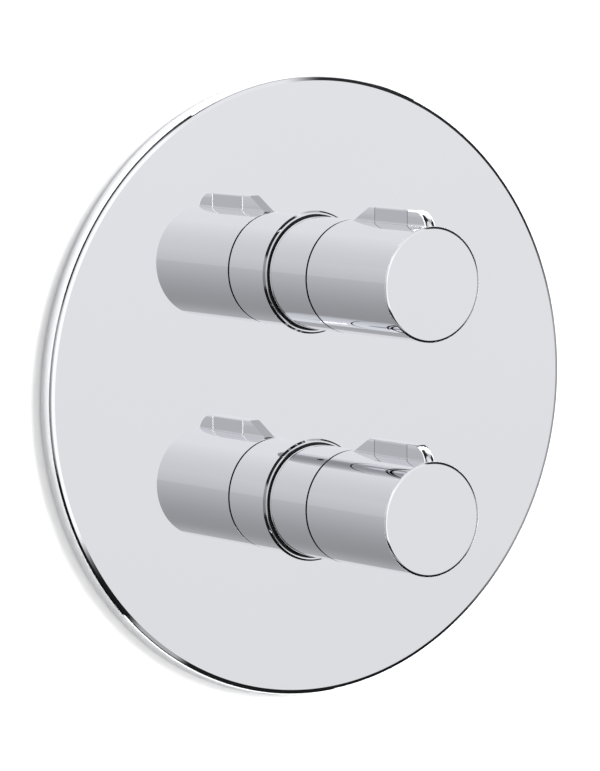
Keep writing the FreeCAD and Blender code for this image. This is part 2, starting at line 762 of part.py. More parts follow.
def lever_tab(body, label):
    """The tab on the handle: a ramp behind, straight flanks, a rounded nose, a flared foot."""
    flare = size.tab_foot_width - size.tab_width
    root_share = size.tab_root / size.tab_height
    root = tab_section(
        body,
        f"{label}_tab_root",
        knob_radius - size.tab_root,
        ramp_top + size.tab_ramp * (root_share + 1),
        nose_foot,
        size.tab_foot_width,
        size.tab_end_width + flare * ROOT_END_FLARE,
    )
    sections = [
        tab_section(
            body,
            f"{label}_tab_{level}",
            knob_radius + size.tab_height * rise,
            ramp_top + size.tab_ramp * (1 - rise),
            nose_foot + size.tab_nose * drawn,
            size.tab_width + flare * flared,
            size.tab_end_width + flare * flared * LEVEL_END_FLARE,
        )
        for level, (rise, drawn, flared) in enumerate(TAB_LEVELS)
    ]
    tab = body.newObject("PartDesign::AdditiveLoft", f"{label}_tab")
    tab.Profile = root
    tab.Sections = sections
    tab.Ruled = True
    document.recompute()


def handle(label, z):
    """A turned handle with its lever tab, a bore for the insert and a grub screw's hole."""
    bore = size.insert_diameter / 2 + size.insert_clearance
    body = turned_body(
        f"{label}_body",
        [
            (handle_back, cavity_radius),
            (handle_back, knob_radius),
            (knob_front, knob_radius),
            (knob_front, 0),
            (insert_front, 0),
            (insert_front, bore),
            (cavity_floor, bore),
            (cavity_floor, cavity_radius),
        ],
    )
    round_rims(body, size.knob_edge, [(knob_front, knob_radius)])
    lever_tab(body, label)
    place(body, z=z)
    hole = rod(
        f"{label}_grub_hole",
        size.grub_diameter / 2 + size.grub_clearance,
        size.knob_diameter / 2 + OVERCUT - bore,
        ALONG_Z,
        0,
        knob_front + size.grub_setback,
        z - knob_radius - OVERCUT,
    )
    finish(cut(label, body, hole), label)


def grub_screw(label, z):
    """The socket screw that holds the handle on its insert, from below."""
    along = knob_front + size.grub_setback
    foot = z - knob_radius + size.grub_recess
    screw = rod(f"{label}_bar", size.grub_diameter / 2, size.grub_length, ALONG_Z, 0, along, foot)
    socket = hex_bar(
        f"{label}_socket", size.grub_hex, size.grub_hex_depth, ALONG_Z, 0, along, foot
    )
    finish(cut(label, screw, socket), label)


def handle_insert(label, z):
    """The splined plastic insert, with the finger that meets the stop ring."""
    radius = size.insert_diameter / 2
    flange = size.insert_flange_diameter / 2
    flange_back = cavity_floor + size.insert_flange
    grip = stem_radius + size.spline_grip
    socket_end = spindle_tip - size.insert_hold
    body = turned_body(
        f"{label}_body",
        [
            (insert_front + size.insert_clearance, 0),
            (insert_front + size.insert_clearance, radius),
            (cavity_floor, radius),
            (cavity_floor, flange),
            (flange_back, flange),
            (flange_back, grip),
            (socket_end, grip),
            (socket_end, 0),
        ],
    )
    inner, outer = size.finger_inner / 2, size.finger_outer / 2
    finger_end = flange_back + size.finger_length
    finger = turned_body(
        f"{label}_finger",
        [(cavity_floor, inner), (cavity_floor, outer), (finger_end, outer), (finger_end, inner)],
        size.finger_angle,
    )
    place(body, z=z)
    place_turned(finger, -size.finger_angle / 2, z)
    finish(fuse(label, body, finger), label)


def place_turned(thing, angle, z):
    """Puts a piece on a knob's axis, turned about it, clockwise as seen from the front."""
    place(thing, z=z, rotation=FreeCAD.Rotation(ALONG_Y, angle.number))
    bind(thing, "Placement.Rotation.Angle", angle)


def stop_ring(label, z, clockwise, anticlockwise):
    """The ring on a cartridge's nose, whose lug stops the insert's finger at both ends."""
    inner = size.nose_diameter / 2 + size.stop_clearance
    hub = size.stop_hub_diameter / 2
    back = nose_front + size.stop_thickness
    body = turned_body(
        f"{label}_hub", [(nose_front, inner), (nose_front, hub), (back, hub), (back, inner)]
    )
    margin = size.finger_angle / 2 + size.stop_slack
    lug = turned_body(
        f"{label}_lug",
        [
            (nose_front, inner),
            (nose_front, size.stop_lug_diameter / 2),
            (back, size.stop_lug_diameter / 2),
            (back, inner),
        ],
        FULL_TURN - clockwise - anticlockwise - margin * 2,
    )
    place(body, z=z)
    place_turned(lug, clockwise + margin, z)
    finish(fuse(label, body, lug), label)


# ---------------------------------------------------------------- spindles


clip_front = nose_front - size.clip_play * 2 - size.clip_thickness
clip_floor = stem_radius - size.clip_groove
spindle_seal_floor = lies_below(stem_bore, size.o_ring_section)
spindle_seal_along = nose_front + size.o_ring_set


def groove(along, width, floor, surface):
    """The four corners of a groove that is centred at a place along the axis."""
    front, back = along - width / 2, along + width / 2
    return [(front, surface), (front, floor), (back, floor), (back, surface)]


def spindle_profile(seal_along, rest):
    """A spindle's outline from its tip, with the grooves of its clip and O-ring."""
    clip_width = size.clip_thickness + size.clip_play
    seal_width = size.o_ring_section + size.groove_play
    return (
        [(spindle_tip, 0), (spindle_tip, stem_radius)]
        + groove(clip_front + clip_width / 2, clip_width, clip_floor, stem_radius)
        + groove(seal_along, seal_width, spindle_seal_floor, stem_radius)
        + rest
    )


def splines(label, z):
    """The grooves that are cut into a spindle's end."""
    return ring_of(
        f"{label}_spline",
        size.spindle_diameter,
        SPLINES,
        size.spline_radius,
        size.spline_length + OVERCUT,
        ALONG_Y,
        (ZERO, spindle_tip - OVERCUT, z),
    )


def spindle_clip(label, z):
    """The open spring clip that keeps a spindle in its nose."""
    inner = clip_floor + size.press_play
    outer = size.clip_diameter / 2
    back = clip_front + size.clip_thickness
    clip = turned_body(
        label,
        [(clip_front, inner), (clip_front, outer), (back, outer), (back, inner)],
        FULL_TURN - size.clip_opening,
    )
    place_turned(clip, size.clip_opening / 2, z)
    finish(clip, label)


collar_front = size.cage_step + size.running_fit
collar_back = collar_front + size.flow_collar
moving_back = disc_face - size.disc_gap
moving_front = moving_back - size.disc_thickness
drive_end = moving_front - size.disc_gap


def flow_spindle():
    """The spindle of the shut-off: splines in front, a dog for the ceramic disc behind."""
    collar = size.flow_collar_diameter / 2
    drive = size.flow_drive_diameter / 2
    body = turned_body(
        "flow_spindle_body",
        spindle_profile(
            spindle_seal_along,
            [
                (collar_front, stem_radius),
                (collar_front, collar),
                (collar_back, collar),
                (collar_back, drive),
                (drive_end, drive),
                (drive_end, 0),
            ],
        ),
    )
    place(body, z=upper)
    dog = block(
        "flow_dog", size.dog_length, size.dog_height + OVERCUT, size.dog_width,
        0, drive_end - OVERCUT, upper,
    )
    round_dog = rod(
        "flow_dog_round", size.dog_length / 2, size.dog_height + OVERCUT, ALONG_Y,
        0, drive_end - OVERCUT, upper,
    )
    shaped_dog = common("flow_dog_shaped", dog, round_dog)
    whole = fuse("flow_spindle_whole", body, shaped_dog)
    finish(cut("flow_spindle", whole, *splines("flow_spindle", upper)), "flow_spindle")


def ceramic_discs():
    """Two lapped discs. Their ports are a quarter turn apart, so the valve rests shut."""
    radius = size.disc_diameter / 2
    fixed_back = disc_face + size.disc_thickness
    fixed = rod("fixed_blank", radius, size.disc_thickness, ALONG_Y, 0, disc_face, upper)
    fixed_ports = ring_of(
        "fixed_port", size.disc_port_circle, 2, size.disc_port_radius,
        size.disc_thickness + OVERCUT * 2, ALONG_Y, (ZERO, disc_face - OVERCUT, upper),
    )
    finish(cut("flow_fixed_disc", fixed, *fixed_ports), "flow_fixed_disc")
    moving = rod("moving_blank", radius, size.disc_thickness, ALONG_Y, 0, moving_front, upper)
    moving_ports = ring_of(
        "moving_port", size.disc_port_circle, 2, size.disc_port_radius,
        size.disc_thickness + OVERCUT * 2, ALONG_Y, (ZERO, moving_front - OVERCUT, upper), 90,
    )
    slot = block(
        "moving_slot",
        size.dog_length + size.dog_clearance * 2,
        size.dog_height + OVERCUT,
        size.dog_width + size.dog_clearance * 2,
        0,
        moving_front - OVERCUT,
        upper,
    )
    finish(cut("flow_moving_disc", moving, slot, *moving_ports), "flow_moving_disc")
    seal = size.disc_seal_bore / 2
    turned(
        "flow_disc_seal",
        [
            (fixed_back, seal),
            (fixed_back, radius),
            (size.valve_seat, radius),
            (size.valve_seat, seal),
        ],
        upper,
    )


# ---------------------------------------------------------------- shut-off cartridge


bush_thread_bore = size.bush_thread / 2 + size.thread_clearance
bush_seal_floor = lies_below(bush_thread_bore, size.housing_o_ring_section)
bush_seal_along = size.neck_front + size.bush_seal_set
bush_seal_width = size.housing_o_ring_section + size.groove_play
nose_radius = size.nose_diameter / 2


def flow_bush():
    """The brass bush of the shut-off: a long nose, a hexagon, a thread and a cage."""
    flange_front = size.neck_front - size.bush_flange
    cage = size.bush_cage / 2
    cage_end = size.valve_seat - size.cage_overlap
    disc_bore = size.disc_diameter / 2 + size.disc_fit
    thread = size.bush_thread / 2
    outside = turned_body(
        "flow_bush_outside",
        [
            (nose_front, 0),
            (nose_front, nose_radius),
            (flange_front, nose_radius),
            (flange_front, size.bush_flange_diameter / 2),
            (size.neck_front, size.bush_flange_diameter / 2),
            (size.neck_front, thread),
        ]
        + groove(bush_seal_along, bush_seal_width, bush_seal_floor, thread)
        + [
            (size.outlet_chamber_front, thread),
            (size.outlet_chamber_front, cage),
            (cage_end, cage),
            (cage_end, 0),
        ],
    )
    place(outside, z=upper)
    hexagon = hex_bar(
        "flow_bush_hex", size.bush_hex, size.bush_hex_length, ALONG_Y,
        0, flange_front - size.bush_hex_length, upper,
    )
    stem_way = rod(
        "flow_stem_way", stem_bore, size.cage_step - nose_front + OVERCUT * 2, ALONG_Y,
        0, nose_front - OVERCUT, upper,
    )
    cage_way = rod(
        "flow_cage_way", disc_bore, cage_end - size.cage_step + OVERCUT, ALONG_Y,
        0, size.cage_step, upper,
    )
    windows = crossed_windows(
        "flow_window", size.bush_cage + OVERCUT * 2, size.bush_window_front,
        size.bush_window_length, upper,
    )
    solid = fuse("flow_bush_solid", outside, hexagon)
    finish(cut("flow_bush", solid, stem_way, cage_way, *windows), "flow_bush")


def crossed_windows(name, reach, front, length, z):
    """Two slots right through a round cage, so that it has four windows."""
    return [
        block(f"{name}_across", reach, length, size.window_width, 0, front, z),
        block(f"{name}_up", size.window_width, length, reach, 0, front, z),
    ]


# ---------------------------------------------------------------- thermostatic cartridge


housing_radius = size.housing_diameter / 2
tower_bore = housing_radius + size.thread_clearance
housing_seal_floor = lies_below(tower_bore, size.housing_o_ring_section)
housing_seal_width = size.housing_o_ring_section + size.groove_play
housing_seals = (size.front_o_ring, inlet_axis, size.back_o_ring)
housing_shoulder = size.neck_front + size.mouth_thread_depth
flange_front = housing_shoulder - size.housing_flange
mouth_piece_radius = size.mouth_thread / 2 - size.thread_clearance
cap_radius = size.shuttle_bore / 2 - size.thread_clearance


def thermostat_housing():
    """The cartridge's housing: nose, flange, ring grooves and the windows of both ports."""
    profile = [
        (nose_front, 0),
        (nose_front, nose_radius),
        (flange_front, nose_radius),
        (flange_front, mouth_piece_radius),
        (housing_shoulder, mouth_piece_radius),
        (housing_shoulder, housing_radius),
    ]
    for along in housing_seals:
        profile += groove(along, housing_seal_width, housing_seal_floor, housing_radius)
    profile += [(size.housing_end, housing_radius), (size.housing_end, 0)]
    outside = turned_body("housing_outside", profile)
    place(outside, z=lower)
    stem_way = rod(
        "housing_stem_way", stem_bore, -nose_front, ALONG_Y, 0, nose_front - OVERCUT, lower
    )
    hex_way = hex_bar(
        "housing_hex_way",
        size.drive_hex + size.drive_hex_fit * 2,
        size.hex_way_front + size.hex_way_back + OVERCUT,
        ALONG_Y,
        0,
        -size.hex_way_front,
        lower,
    )
    spring_way = rod(
        "housing_spring_way", size.spring_bore / 2, size.hot_shoulder - size.hex_way_back + OVERCUT,
        ALONG_Y, 0, size.hex_way_back, lower,
    )
    shuttle_way = rod(
        "housing_shuttle_way", size.shuttle_bore / 2, size.housing_end - size.hot_shoulder + OVERCUT,
        ALONG_Y, 0, size.hot_shoulder, lower,
    )
    windows = crossed_windows(
        "hot_window", size.housing_diameter + OVERCUT * 2, size.hot_shoulder, size.port_window, lower
    ) + crossed_windows(
        "cold_window",
        size.housing_diameter + OVERCUT * 2,
        size.cold_shoulder - size.port_window,
        size.port_window,
        lower,
    )
    ways = [stem_way, hex_way, spring_way, shuttle_way]
    finish(cut("thermostat_housing", outside, *ways, *windows), "thermostat_housing")
    rings = document.addObject("Part::Compound", "thermostat_o_rings")
    rings.Links = [
        o_ring(f"housing_o_ring_{place_}", size.housing_o_ring_section, housing_seal_floor,
               along, lower)
        for place_, along in enumerate(housing_seals)
    ]
    finish(rings, "thermostat_o_rings")


def retaining_nut():
    """The nut in the tower's mouth that clamps the housing's flange."""
    bore = nose_radius + size.nut_bore_clearance
    thread = rod(
        "nut_thread", mouth_piece_radius, flange_front - size.neck_front, ALONG_Y,
        0, size.neck_front, lower,
    )
    hexagon = hex_bar(
        "nut_hexagon", size.nut_hex, size.nut_hex_length + OVERCUT, ALONG_Y,
        0, size.neck_front - size.nut_hex_length, lower,
    )
    way = rod(
        "nut_way", bore, size.nut_hex_length + size.mouth_thread_depth + OVERCUT * 2, ALONG_Y,
        0, size.neck_front - size.nut_hex_length - OVERCUT, lower,
    )
    finish(cut("thermostat_retaining_nut", fuse("nut_solid", thread, hexagon), way),
           "thermostat_retaining_nut")


def temperature_spindle():
    """The spindle that turns in the housing and screws the drive nut to and fro."""
    collar_at = size.running_fit - size.hex_way_front
    collar = size.thrust_collar_diameter / 2
    thread = size.drive_thread / 2
    body = turned_body(
        "temperature_spindle_body",
        spindle_profile(
            temperature_seal_along,
            [
                (collar_at, stem_radius),
                (collar_at, collar),
                (collar_at + size.thrust_collar, collar),
                (collar_at + size.thrust_collar, thread),
                (size.drive_thread_end, thread),
                (size.drive_thread_end, 0),
            ],
        ),
    )
    place(body, z=lower)
    finish(cut("temperature_spindle", body, *splines("temperature_spindle", lower)),
           "temperature_spindle")


temperature_seal_along = nose_front + size.o_ring_set / 2
cup_radius = size.cup_diameter / 2
cup_inner = cup_radius - size.cup_wall
cup_floor_back = size.cup_front + size.cup_floor
plunger_front = cup_floor_back + size.overload_length
plunger_back = plunger_front + size.plunger_flange


def drive_nut():
    """The nut that can't turn: a hexagon in front, a cup for the overload spring behind."""
    hexagon = hex_bar(
        "drive_hexagon", size.drive_hex, size.drive_hex_front + size.cup_front + OVERCUT, ALONG_Y,
        0, -size.drive_hex_front, lower,
    )
    cup = rod("drive_cup", cup_radius, size.cup_back - size.cup_front, ALONG_Y,
              0, size.cup_front, lower)
    thread_way = rod(
        "drive_thread_way", size.drive_thread / 2 + size.running_fit,
        size.drive_hex_front + size.drive_bore_end + OVERCUT, ALONG_Y,
        0, -size.drive_hex_front - OVERCUT, lower,
    )
    cup_way = rod("drive_cup_way", cup_inner, size.cup_back - cup_floor_back + OVERCUT, ALONG_Y,
                  0, cup_floor_back, lower)
    clip_way = rod("drive_clip_way", cup_inner + size.cup_groove, size.retainer_thickness,
                   ALONG_Y, 0, plunger_back, lower)
    solid = fuse("drive_nut_solid", hexagon, cup)
    finish(cut("drive_nut", solid, thread_way, cup_way, clip_way), "drive_nut")


def overload_parts():
    """What is in the cup: a strong spring, the plunger in front of it, and its retainer."""
    spring("overload_spring", size.overload_diameter, size.overload_wire, size.overload_length,
           size.overload_turns, ALONG_Y, 0, cup_floor_back, lower)
    boss = size.plunger_boss_diameter / 2
    socket = size.pin_diameter / 2 + size.press_play
    flange = size.plunger_diameter / 2
    turned(
        "overload_plunger",
        [
            (plunger_front - size.plunger_boss, 0),
            (plunger_front - size.plunger_boss, boss),
            (plunger_front, boss),
            (plunger_front, flange),
            (plunger_back, flange),
            (plunger_back, socket),
            (plunger_back - size.plunger_socket, socket),
            (plunger_back - size.plunger_socket, 0),
        ],
        lower,
    )
    clip_outer = cup_inner + size.cup_groove - size.press_play
    clip_back = plunger_back + size.retainer_thickness
    turned(
        "plunger_retainer",
        [
            (plunger_back, size.retainer_bore / 2),
            (plunger_back, clip_outer),
            (clip_back, clip_outer),
            (clip_back, size.retainer_bore / 2),
        ],
        lower,
    )


def wax_element():
    """The element whose wax pushes its pin out, and the pin itself, which the plunger holds."""
    bore = size.pin_diameter / 2 + size.running_fit
    neck = size.element_neck / 2
    flange = size.element_flange_diameter / 2
    bulb = size.bulb_diameter / 2
    flange_at = size.shuttle_web_front - size.element_flange
    turned(
        "wax_element",
        [
            (size.element_front, bore),
            (size.element_front, neck),
            (flange_at, neck),
            (flange_at, flange),
            (size.shuttle_web_front, flange),
            (size.shuttle_web_front, bulb),
            (size.bulb_end, bulb),
            (size.bulb_end, 0),
            (size.element_bore_end, 0),
            (size.element_bore_end, bore),
        ],
        lower,
        radius=size.bulb_taper,
        rims=[(size.bulb_end, bulb)],
        feature="PartDesign::Chamfer",
    )
    pin_front = plunger_back - size.plunger_socket
    finish(
        rod("wax_pin", size.pin_diameter / 2, size.pin_back - pin_front, ALONG_Y,
            0, pin_front, lower),
        "wax_pin",
    )


def shuttle():
    """The sliding valve between hot and cold, with its web on the element's flange."""
    outer = size.shuttle_bore / 2 - size.shuttle_fit
    inner = outer - size.shuttle_wall
    hub = size.bulb_diameter / 2 + size.running_fit
    front = size.shuttle_front
    back = front + size.shuttle_length
    web_back = size.shuttle_web_front + size.shuttle_web
    seal_along = front + size.shuttle_length / 2
    seal_floor = lies_below(outer, size.o_ring_section)
    body = turned_body(
        "shuttle_body",
        [(front, inner), (front, outer)]
        + groove(seal_along, size.o_ring_section + size.groove_play, seal_floor, outer)
        + [
            (back, outer),
            (back, inner),
            (web_back, inner),
            (web_back, hub),
            (size.shuttle_web_front, hub),
            (size.shuttle_web_front, inner),
        ],
    )
    place(body, z=lower)
    holes = ring_of(
        "shuttle_hole", size.shuttle_hole_circle, SHUTTLE_HOLES, size.shuttle_hole_radius,
        size.shuttle_web + OVERCUT * 2, ALONG_Y, (ZERO, size.shuttle_web_front - OVERCUT, lower),
    )
    finish(cut("shuttle", body, *holes), "shuttle")
    finish(o_ring("shuttle_o_ring", size.o_ring_section, seal_floor, seal_along, lower),
           "shuttle_o_ring")


def cartridge_back():
    """The end cap with the cold seat, and the return spring between it and the shuttle."""
    web_back = size.shuttle_web_front + size.shuttle_web
    spring_seat = size.cold_shoulder + size.return_seat
    seat_bore = (size.return_diameter + size.return_wire) / 2 + size.seat_gap
    flange = housing_radius - size.thread_clearance
    turned(
        "thermostat_end_cap",
        [
            (size.cold_shoulder, seat_bore),
            (size.cold_shoulder, cap_radius),
            (size.housing_end, cap_radius),
            (size.housing_end, flange),
            (cap_seat, flange),
            (cap_seat, size.cap_bore / 2),
            (spring_seat, size.cap_bore / 2),
            (spring_seat, seat_bore),
        ],
        lower,
    )
    spring("return_spring", size.return_diameter, size.return_wire, spring_seat - web_back,
           size.return_turns, ALONG_Y, 0, web_back, lower)


# ---------------------------------------------------------------- check valves


def inlet_place(thing, side):
    """Turns a piece, made about the Y axis, to point out of an inlet. Side is -1 or 1."""
    place(thing, 0, inlet_axis, lower, FreeCAD.Rotation(ALONG_Z, -90 * side))


def check_valve(prefix, side):
    """A check valve: housing with seat and spider, a poppet and its spring."""
    seat = check_outer - size.check_seat_wall
    back = check_outer - size.check_length
    spider = back + size.check_seat_wall
    stem = size.poppet_stem / 2
    guide = stem + size.running_fit
    body = turned_body(
        f"{prefix}_check_body",
        [
            (check_outer, size.check_seat_hole / 2),
            (check_outer, size.check_diameter / 2),
            (back, size.check_diameter / 2),
            (back, guide),
            (spider, guide),
            (spider, size.check_chamber / 2),
            (seat, size.check_chamber / 2),
            (seat, size.check_seat_hole / 2),
        ],
    )
    holes = ring_of(
        f"{prefix}_spider_hole", size.spider_hole_circle, SPIDER_HOLES, size.spider_hole_radius,
        size.check_seat_wall + OVERCUT * 2, ALONG_Y, (ZERO, back - OVERCUT, ZERO), 45,
    )
    housing = cut(f"{prefix}_check_housing", body, *holes)
    inlet_place(housing, side)
    finish(housing, f"{prefix}_check_housing")

    face = seat - size.poppet_rest_gap
    disc_back = face - size.poppet_thickness
    tip = back - size.poppet_stem_past
    poppet = turned_body(
        f"{prefix}_check_poppet",
        [
            (face, 0),
            (face, size.poppet_diameter / 2),
            (disc_back, size.poppet_diameter / 2),
            (disc_back, stem),
            (tip, stem),
            (tip, 0),
        ],
    )
    inlet_place(poppet, side)
    finish(poppet, f"{prefix}_check_poppet")
    spring(
        f"{prefix}_check_spring", size.check_spring_diameter, size.check_spring_wire,
        disc_back - spider, size.check_spring_turns, ALONG_X * side,
        spider * side, inlet_axis, lower,
    )


def strainer(prefix, side):
    """The perforated disc in front of a check valve."""
    front = check_outer + size.strainer_thickness
    disc = rod(f"{prefix}_strainer_disc", size.check_diameter / 2, size.strainer_thickness,
               ALONG_Y, 0, check_outer, 0)
    holes = ring_of(
        f"{prefix}_strainer_hole", size.strainer_circle, STRAINER_HOLES, size.strainer_hole_radius,
        size.strainer_thickness + OVERCUT * 2, ALONG_Y, (ZERO, check_outer - OVERCUT, ZERO),
    )
    plate = cut(f"{prefix}_inlet_strainer", disc, *holes)
    inlet_place(plate, side)
    finish(plate, f"{prefix}_inlet_strainer")


# ---------------------------------------------------------------- valve body


def tower(name, z, seam=NO_TURN):
    """A tower: the threaded neck in front and the thicker barrel behind it."""
    return fuse(
        f"{name}_tower",
        rod(f"{name}_neck", neck_radius, size.neck_back - size.neck_front, ALONG_Y,
            0, size.neck_front, z, seam),
        rod(f"{name}_barrel", size.tower_diameter / 2, size.tower_back - size.neck_back, ALONG_Y,
            0, size.neck_back, z, seam),
    )


def port_hexagon(name, axis, reach, x, y, z):
    """The hexagon at the end of an arm, for a spanner."""
    start = reach - size.port_hex_length
    return hex_bar(
        name, size.port_hex, size.port_hex_length, axis,
        as_size(x) + start * axis.x, as_size(y) + start * axis.y, as_size(z) + start * axis.z,
    )


def way(name, diameter, start, end, axis, x, y, z):
    """A drilled way along an axis, from start to end as measured from a point."""
    return rod(
        name, diameter / 2, end - start, axis,
        as_size(x) + start * axis.x, as_size(y) + start * axis.y, as_size(z) + start * axis.z,
    )


def fixing_bar():
    """The flat bar behind the bridge, with round ends and a screw hole in each."""
    end_radius = size.bar_width / 2
    pieces = [
        block("bar_middle", size.bar_length - size.bar_width, size.bar_thickness, size.bar_width,
              0, bar_front, 0)
    ]
    for side, name in ((-1, "left"), (1, "right")):
        pieces.append(
            rod(f"bar_{name}_end", end_radius, size.bar_thickness, ALONG_Y,
                (size.bar_length - size.bar_width) / 2 * side, bar_front, 0)
        )
    return fuse("fixing_bar", *pieces)


def upper_ways():
    """The ways in the upper tower: thread, chamber, seat and the chamber behind it."""
    seat_back = size.valve_seat + size.seat_wall
    return [
        way("bush_way", size.bush_thread + size.thread_clearance * 2, size.neck_front - OVERCUT,
            size.outlet_chamber_front + OVERCUT, ALONG_Y, 0, 0, upper),
        way("outlet_chamber", size.outlet_chamber, size.outlet_chamber_front, size.valve_seat,
            ALONG_Y, 0, 0, upper),
        way("seat_way", size.seat_bore, size.valve_seat - OVERCUT, seat_back + OVERCUT, ALONG_Y,
            0, 0, upper),
        way("upper_chamber", size.bridge_chamber, seat_back, chamber_back, ALONG_Y, 0, 0, upper),
        way("outlet_way", size.outlet_way, -WAY_OVERLAP, size.outlet_reach,
            ALONG_Z, 0, outlet_axis, upper),
        way("outlet_thread", size.port_bore, size.outlet_reach - size.port_thread_length,
            size.outlet_reach + OVERCUT, ALONG_Z, 0, outlet_axis, upper),
    ]


def lower_ways():
    """The ways in the lower tower: mouth, cartridge bore, two ring channels, back chamber."""
    bore_end = cap_seat + size.seat_gap
    ways = [
        way("mouth_way", size.mouth_thread, size.neck_front - OVERCUT, housing_shoulder,
            ALONG_Y, 0, 0, lower),
        way("cartridge_way", tower_bore * 2, housing_shoulder - OVERCUT, bore_end,
            ALONG_Y, 0, 0, lower),
        way("lower_chamber", size.bridge_chamber, bore_end - OVERCUT, chamber_back,
            ALONG_Y, 0, 0, lower),
        way("bridge_way", size.bridge_bore, lower - WAY_OVERLAP, upper + WAY_OVERLAP,
            ALONG_Z, 0, bridge_axis, 0),
    ]
    half = size.port_ring_width / 2
    for name, port, axis in (("hot", size.hot_port, -ALONG_X), ("cold", size.cold_port, ALONG_X)):
        ways += [
            way(f"{name}_ring", size.port_ring_diameter, port - half, port + half,
                ALONG_Y, 0, 0, lower),
            way(f"{name}_feed", size.feed_bore, housing_radius, check_bore_end + OVERCUT,
                axis, 0, port, lower),
            way(f"{name}_check_end", size.check_bore - size.check_shoulder * 2,
                check_bore_end, check_outer, axis, 0, inlet_axis, lower),
            way(f"{name}_check_way", size.check_bore, check_outer - size.check_length,
                size.inlet_reach, axis, 0, inlet_axis, lower),
            way(f"{name}_thread", size.port_bore, size.inlet_reach - size.port_thread_length,
                size.inlet_reach + OVERCUT, axis, 0, inlet_axis, lower),
        ]
    return ways


def valve_body():
    """The brass casting: two towers, the bridge between them, three arms, a fixing bar."""
    casting = fuse(
        "casting",
        tower("upper", upper),
        tower("lower", lower, QUARTER_TURN),
        way("bridge", size.bridge_diameter, lower - WAY_OVERLAP, upper + WAY_OVERLAP, ALONG_Z,
            0, size.tower_back - size.bridge_diameter / 2, 0),
        way("inlet_arms", size.port_diameter, OVERCUT - size.inlet_reach, size.inlet_reach - OVERCUT,
            ALONG_X, 0, inlet_axis, lower),
        way("outlet_arm", size.port_diameter, -WAY_OVERLAP, size.outlet_reach - OVERCUT,
            ALONG_Z, 0, outlet_axis, upper),
        port_hexagon("hot_hex", -ALONG_X, size.inlet_reach, 0, inlet_axis, lower),
        port_hexagon("cold_hex", ALONG_X, size.inlet_reach, 0, inlet_axis, lower),
        port_hexagon("outlet_hex", ALONG_Z, size.outlet_reach, 0, outlet_axis, upper),
        fixing_bar(),
    )
    screw_holes = [
        rod(f"screw_hole_{name}", size.bar_hole_diameter / 2,
            size.bar_thickness + OVERCUT * 2, ALONG_Y, size.bar_hole_spacing / 2 * side,
            bar_front - OVERCUT, 0)
        for side, name in ((-1, "left"), (1, "right"))
    ]
    with_upper_ways = cut("body_upper_ways", casting, *upper_ways())
    with_lower_ways = cut("body_lower_ways", with_upper_ways, *lower_ways())
    finish(cut("valve_body", with_lower_ways, *screw_holes), "valve_body")


# ---------------------------------------------------------------- the whole valve

cover_plate()
wall_gasket()
for prefix, z in (("upper", upper), ("lower", lower)):
    collar_ring(f"{prefix}_collar_ring", z)
    collar_seal(f"{prefix}_collar_seal", z)
    sleeve(f"{prefix}_sleeve", z)
for prefix, z in (("flow", upper), ("temperature", lower)):
    handle(f"{prefix}_handle", z)
    handle_insert(f"{prefix}_handle_insert", z)
    grub_screw(f"{prefix}_grub_screw", z)
    spindle_clip(f"{prefix}_spindle_clip", z)
stop_ring("flow_stop_ring", upper, ZERO, size.flow_travel)
stop_ring("temperature_stop_ring", lower, size.cold_travel, size.hot_travel)

flow_spindle()
finish(o_ring("flow_spindle_o_ring", size.o_ring_section, spindle_seal_floor,
              spindle_seal_along, upper), "flow_spindle_o_ring")
ceramic_discs()
flow_bush()
finish(o_ring("flow_bush_o_ring", size.housing_o_ring_section, bush_seal_floor,
              bush_seal_along, upper), "flow_bush_o_ring")

temperature_spindle()
finish(o_ring("temperature_spindle_o_ring", size.o_ring_section, spindle_seal_floor,
              temperature_seal_along, lower), "temperature_spindle_o_ring")
thermostat_housing()
retaining_nut()
drive_nut()
overload_parts()
wax_element()
shuttle()
cartridge_back()
for prefix, side in (("hot", -1), ("cold", 1)):
    check_valve(prefix, side)
    strainer(prefix, side)
valve_body()

document.recompute()
for thing in document.Objects:
    if "Invalid" in thing.State or "Error" in thing.State:
        raise RuntimeError(f"{thing.Name} failed: {thing.State}")
os.makedirs("parts", exist_ok=True)
for thing in sub_parts:
    if thing.Shape.isNull() or not thing.Shape.isValid():
        raise RuntimeError(f"{thing.Label} has no valid shape")
    thing.Shape.exportStep(f"parts/{thing.Label}.step")
    print(f"{thing.Label}: {len(thing.Shape.Solids)} solid(s), {thing.Shape.Volume:.1f} mm3")
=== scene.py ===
# %% [markdown]
# # A thermostatic shower valve on its wall
#
# A round cover plate of mirror-polished chrome carries two equal knobs. The upper one opens
# the water, the lower one sets how warm it is. Everything else hangs behind the wall: a brass
# casting with its inlets, the cartridges, and the springs, discs and seals inside them.
#
# The CAD model gives every piece its place and size. This script dresses it. Pieces whose
# shine shows every small flaw of a surface are made again here with finer meshes. All others
# keep their CAD mesh and only get a finish.

# %% Load the frame
import json
import math

import bmesh
import bpy
from mathutils import Matrix, Vector


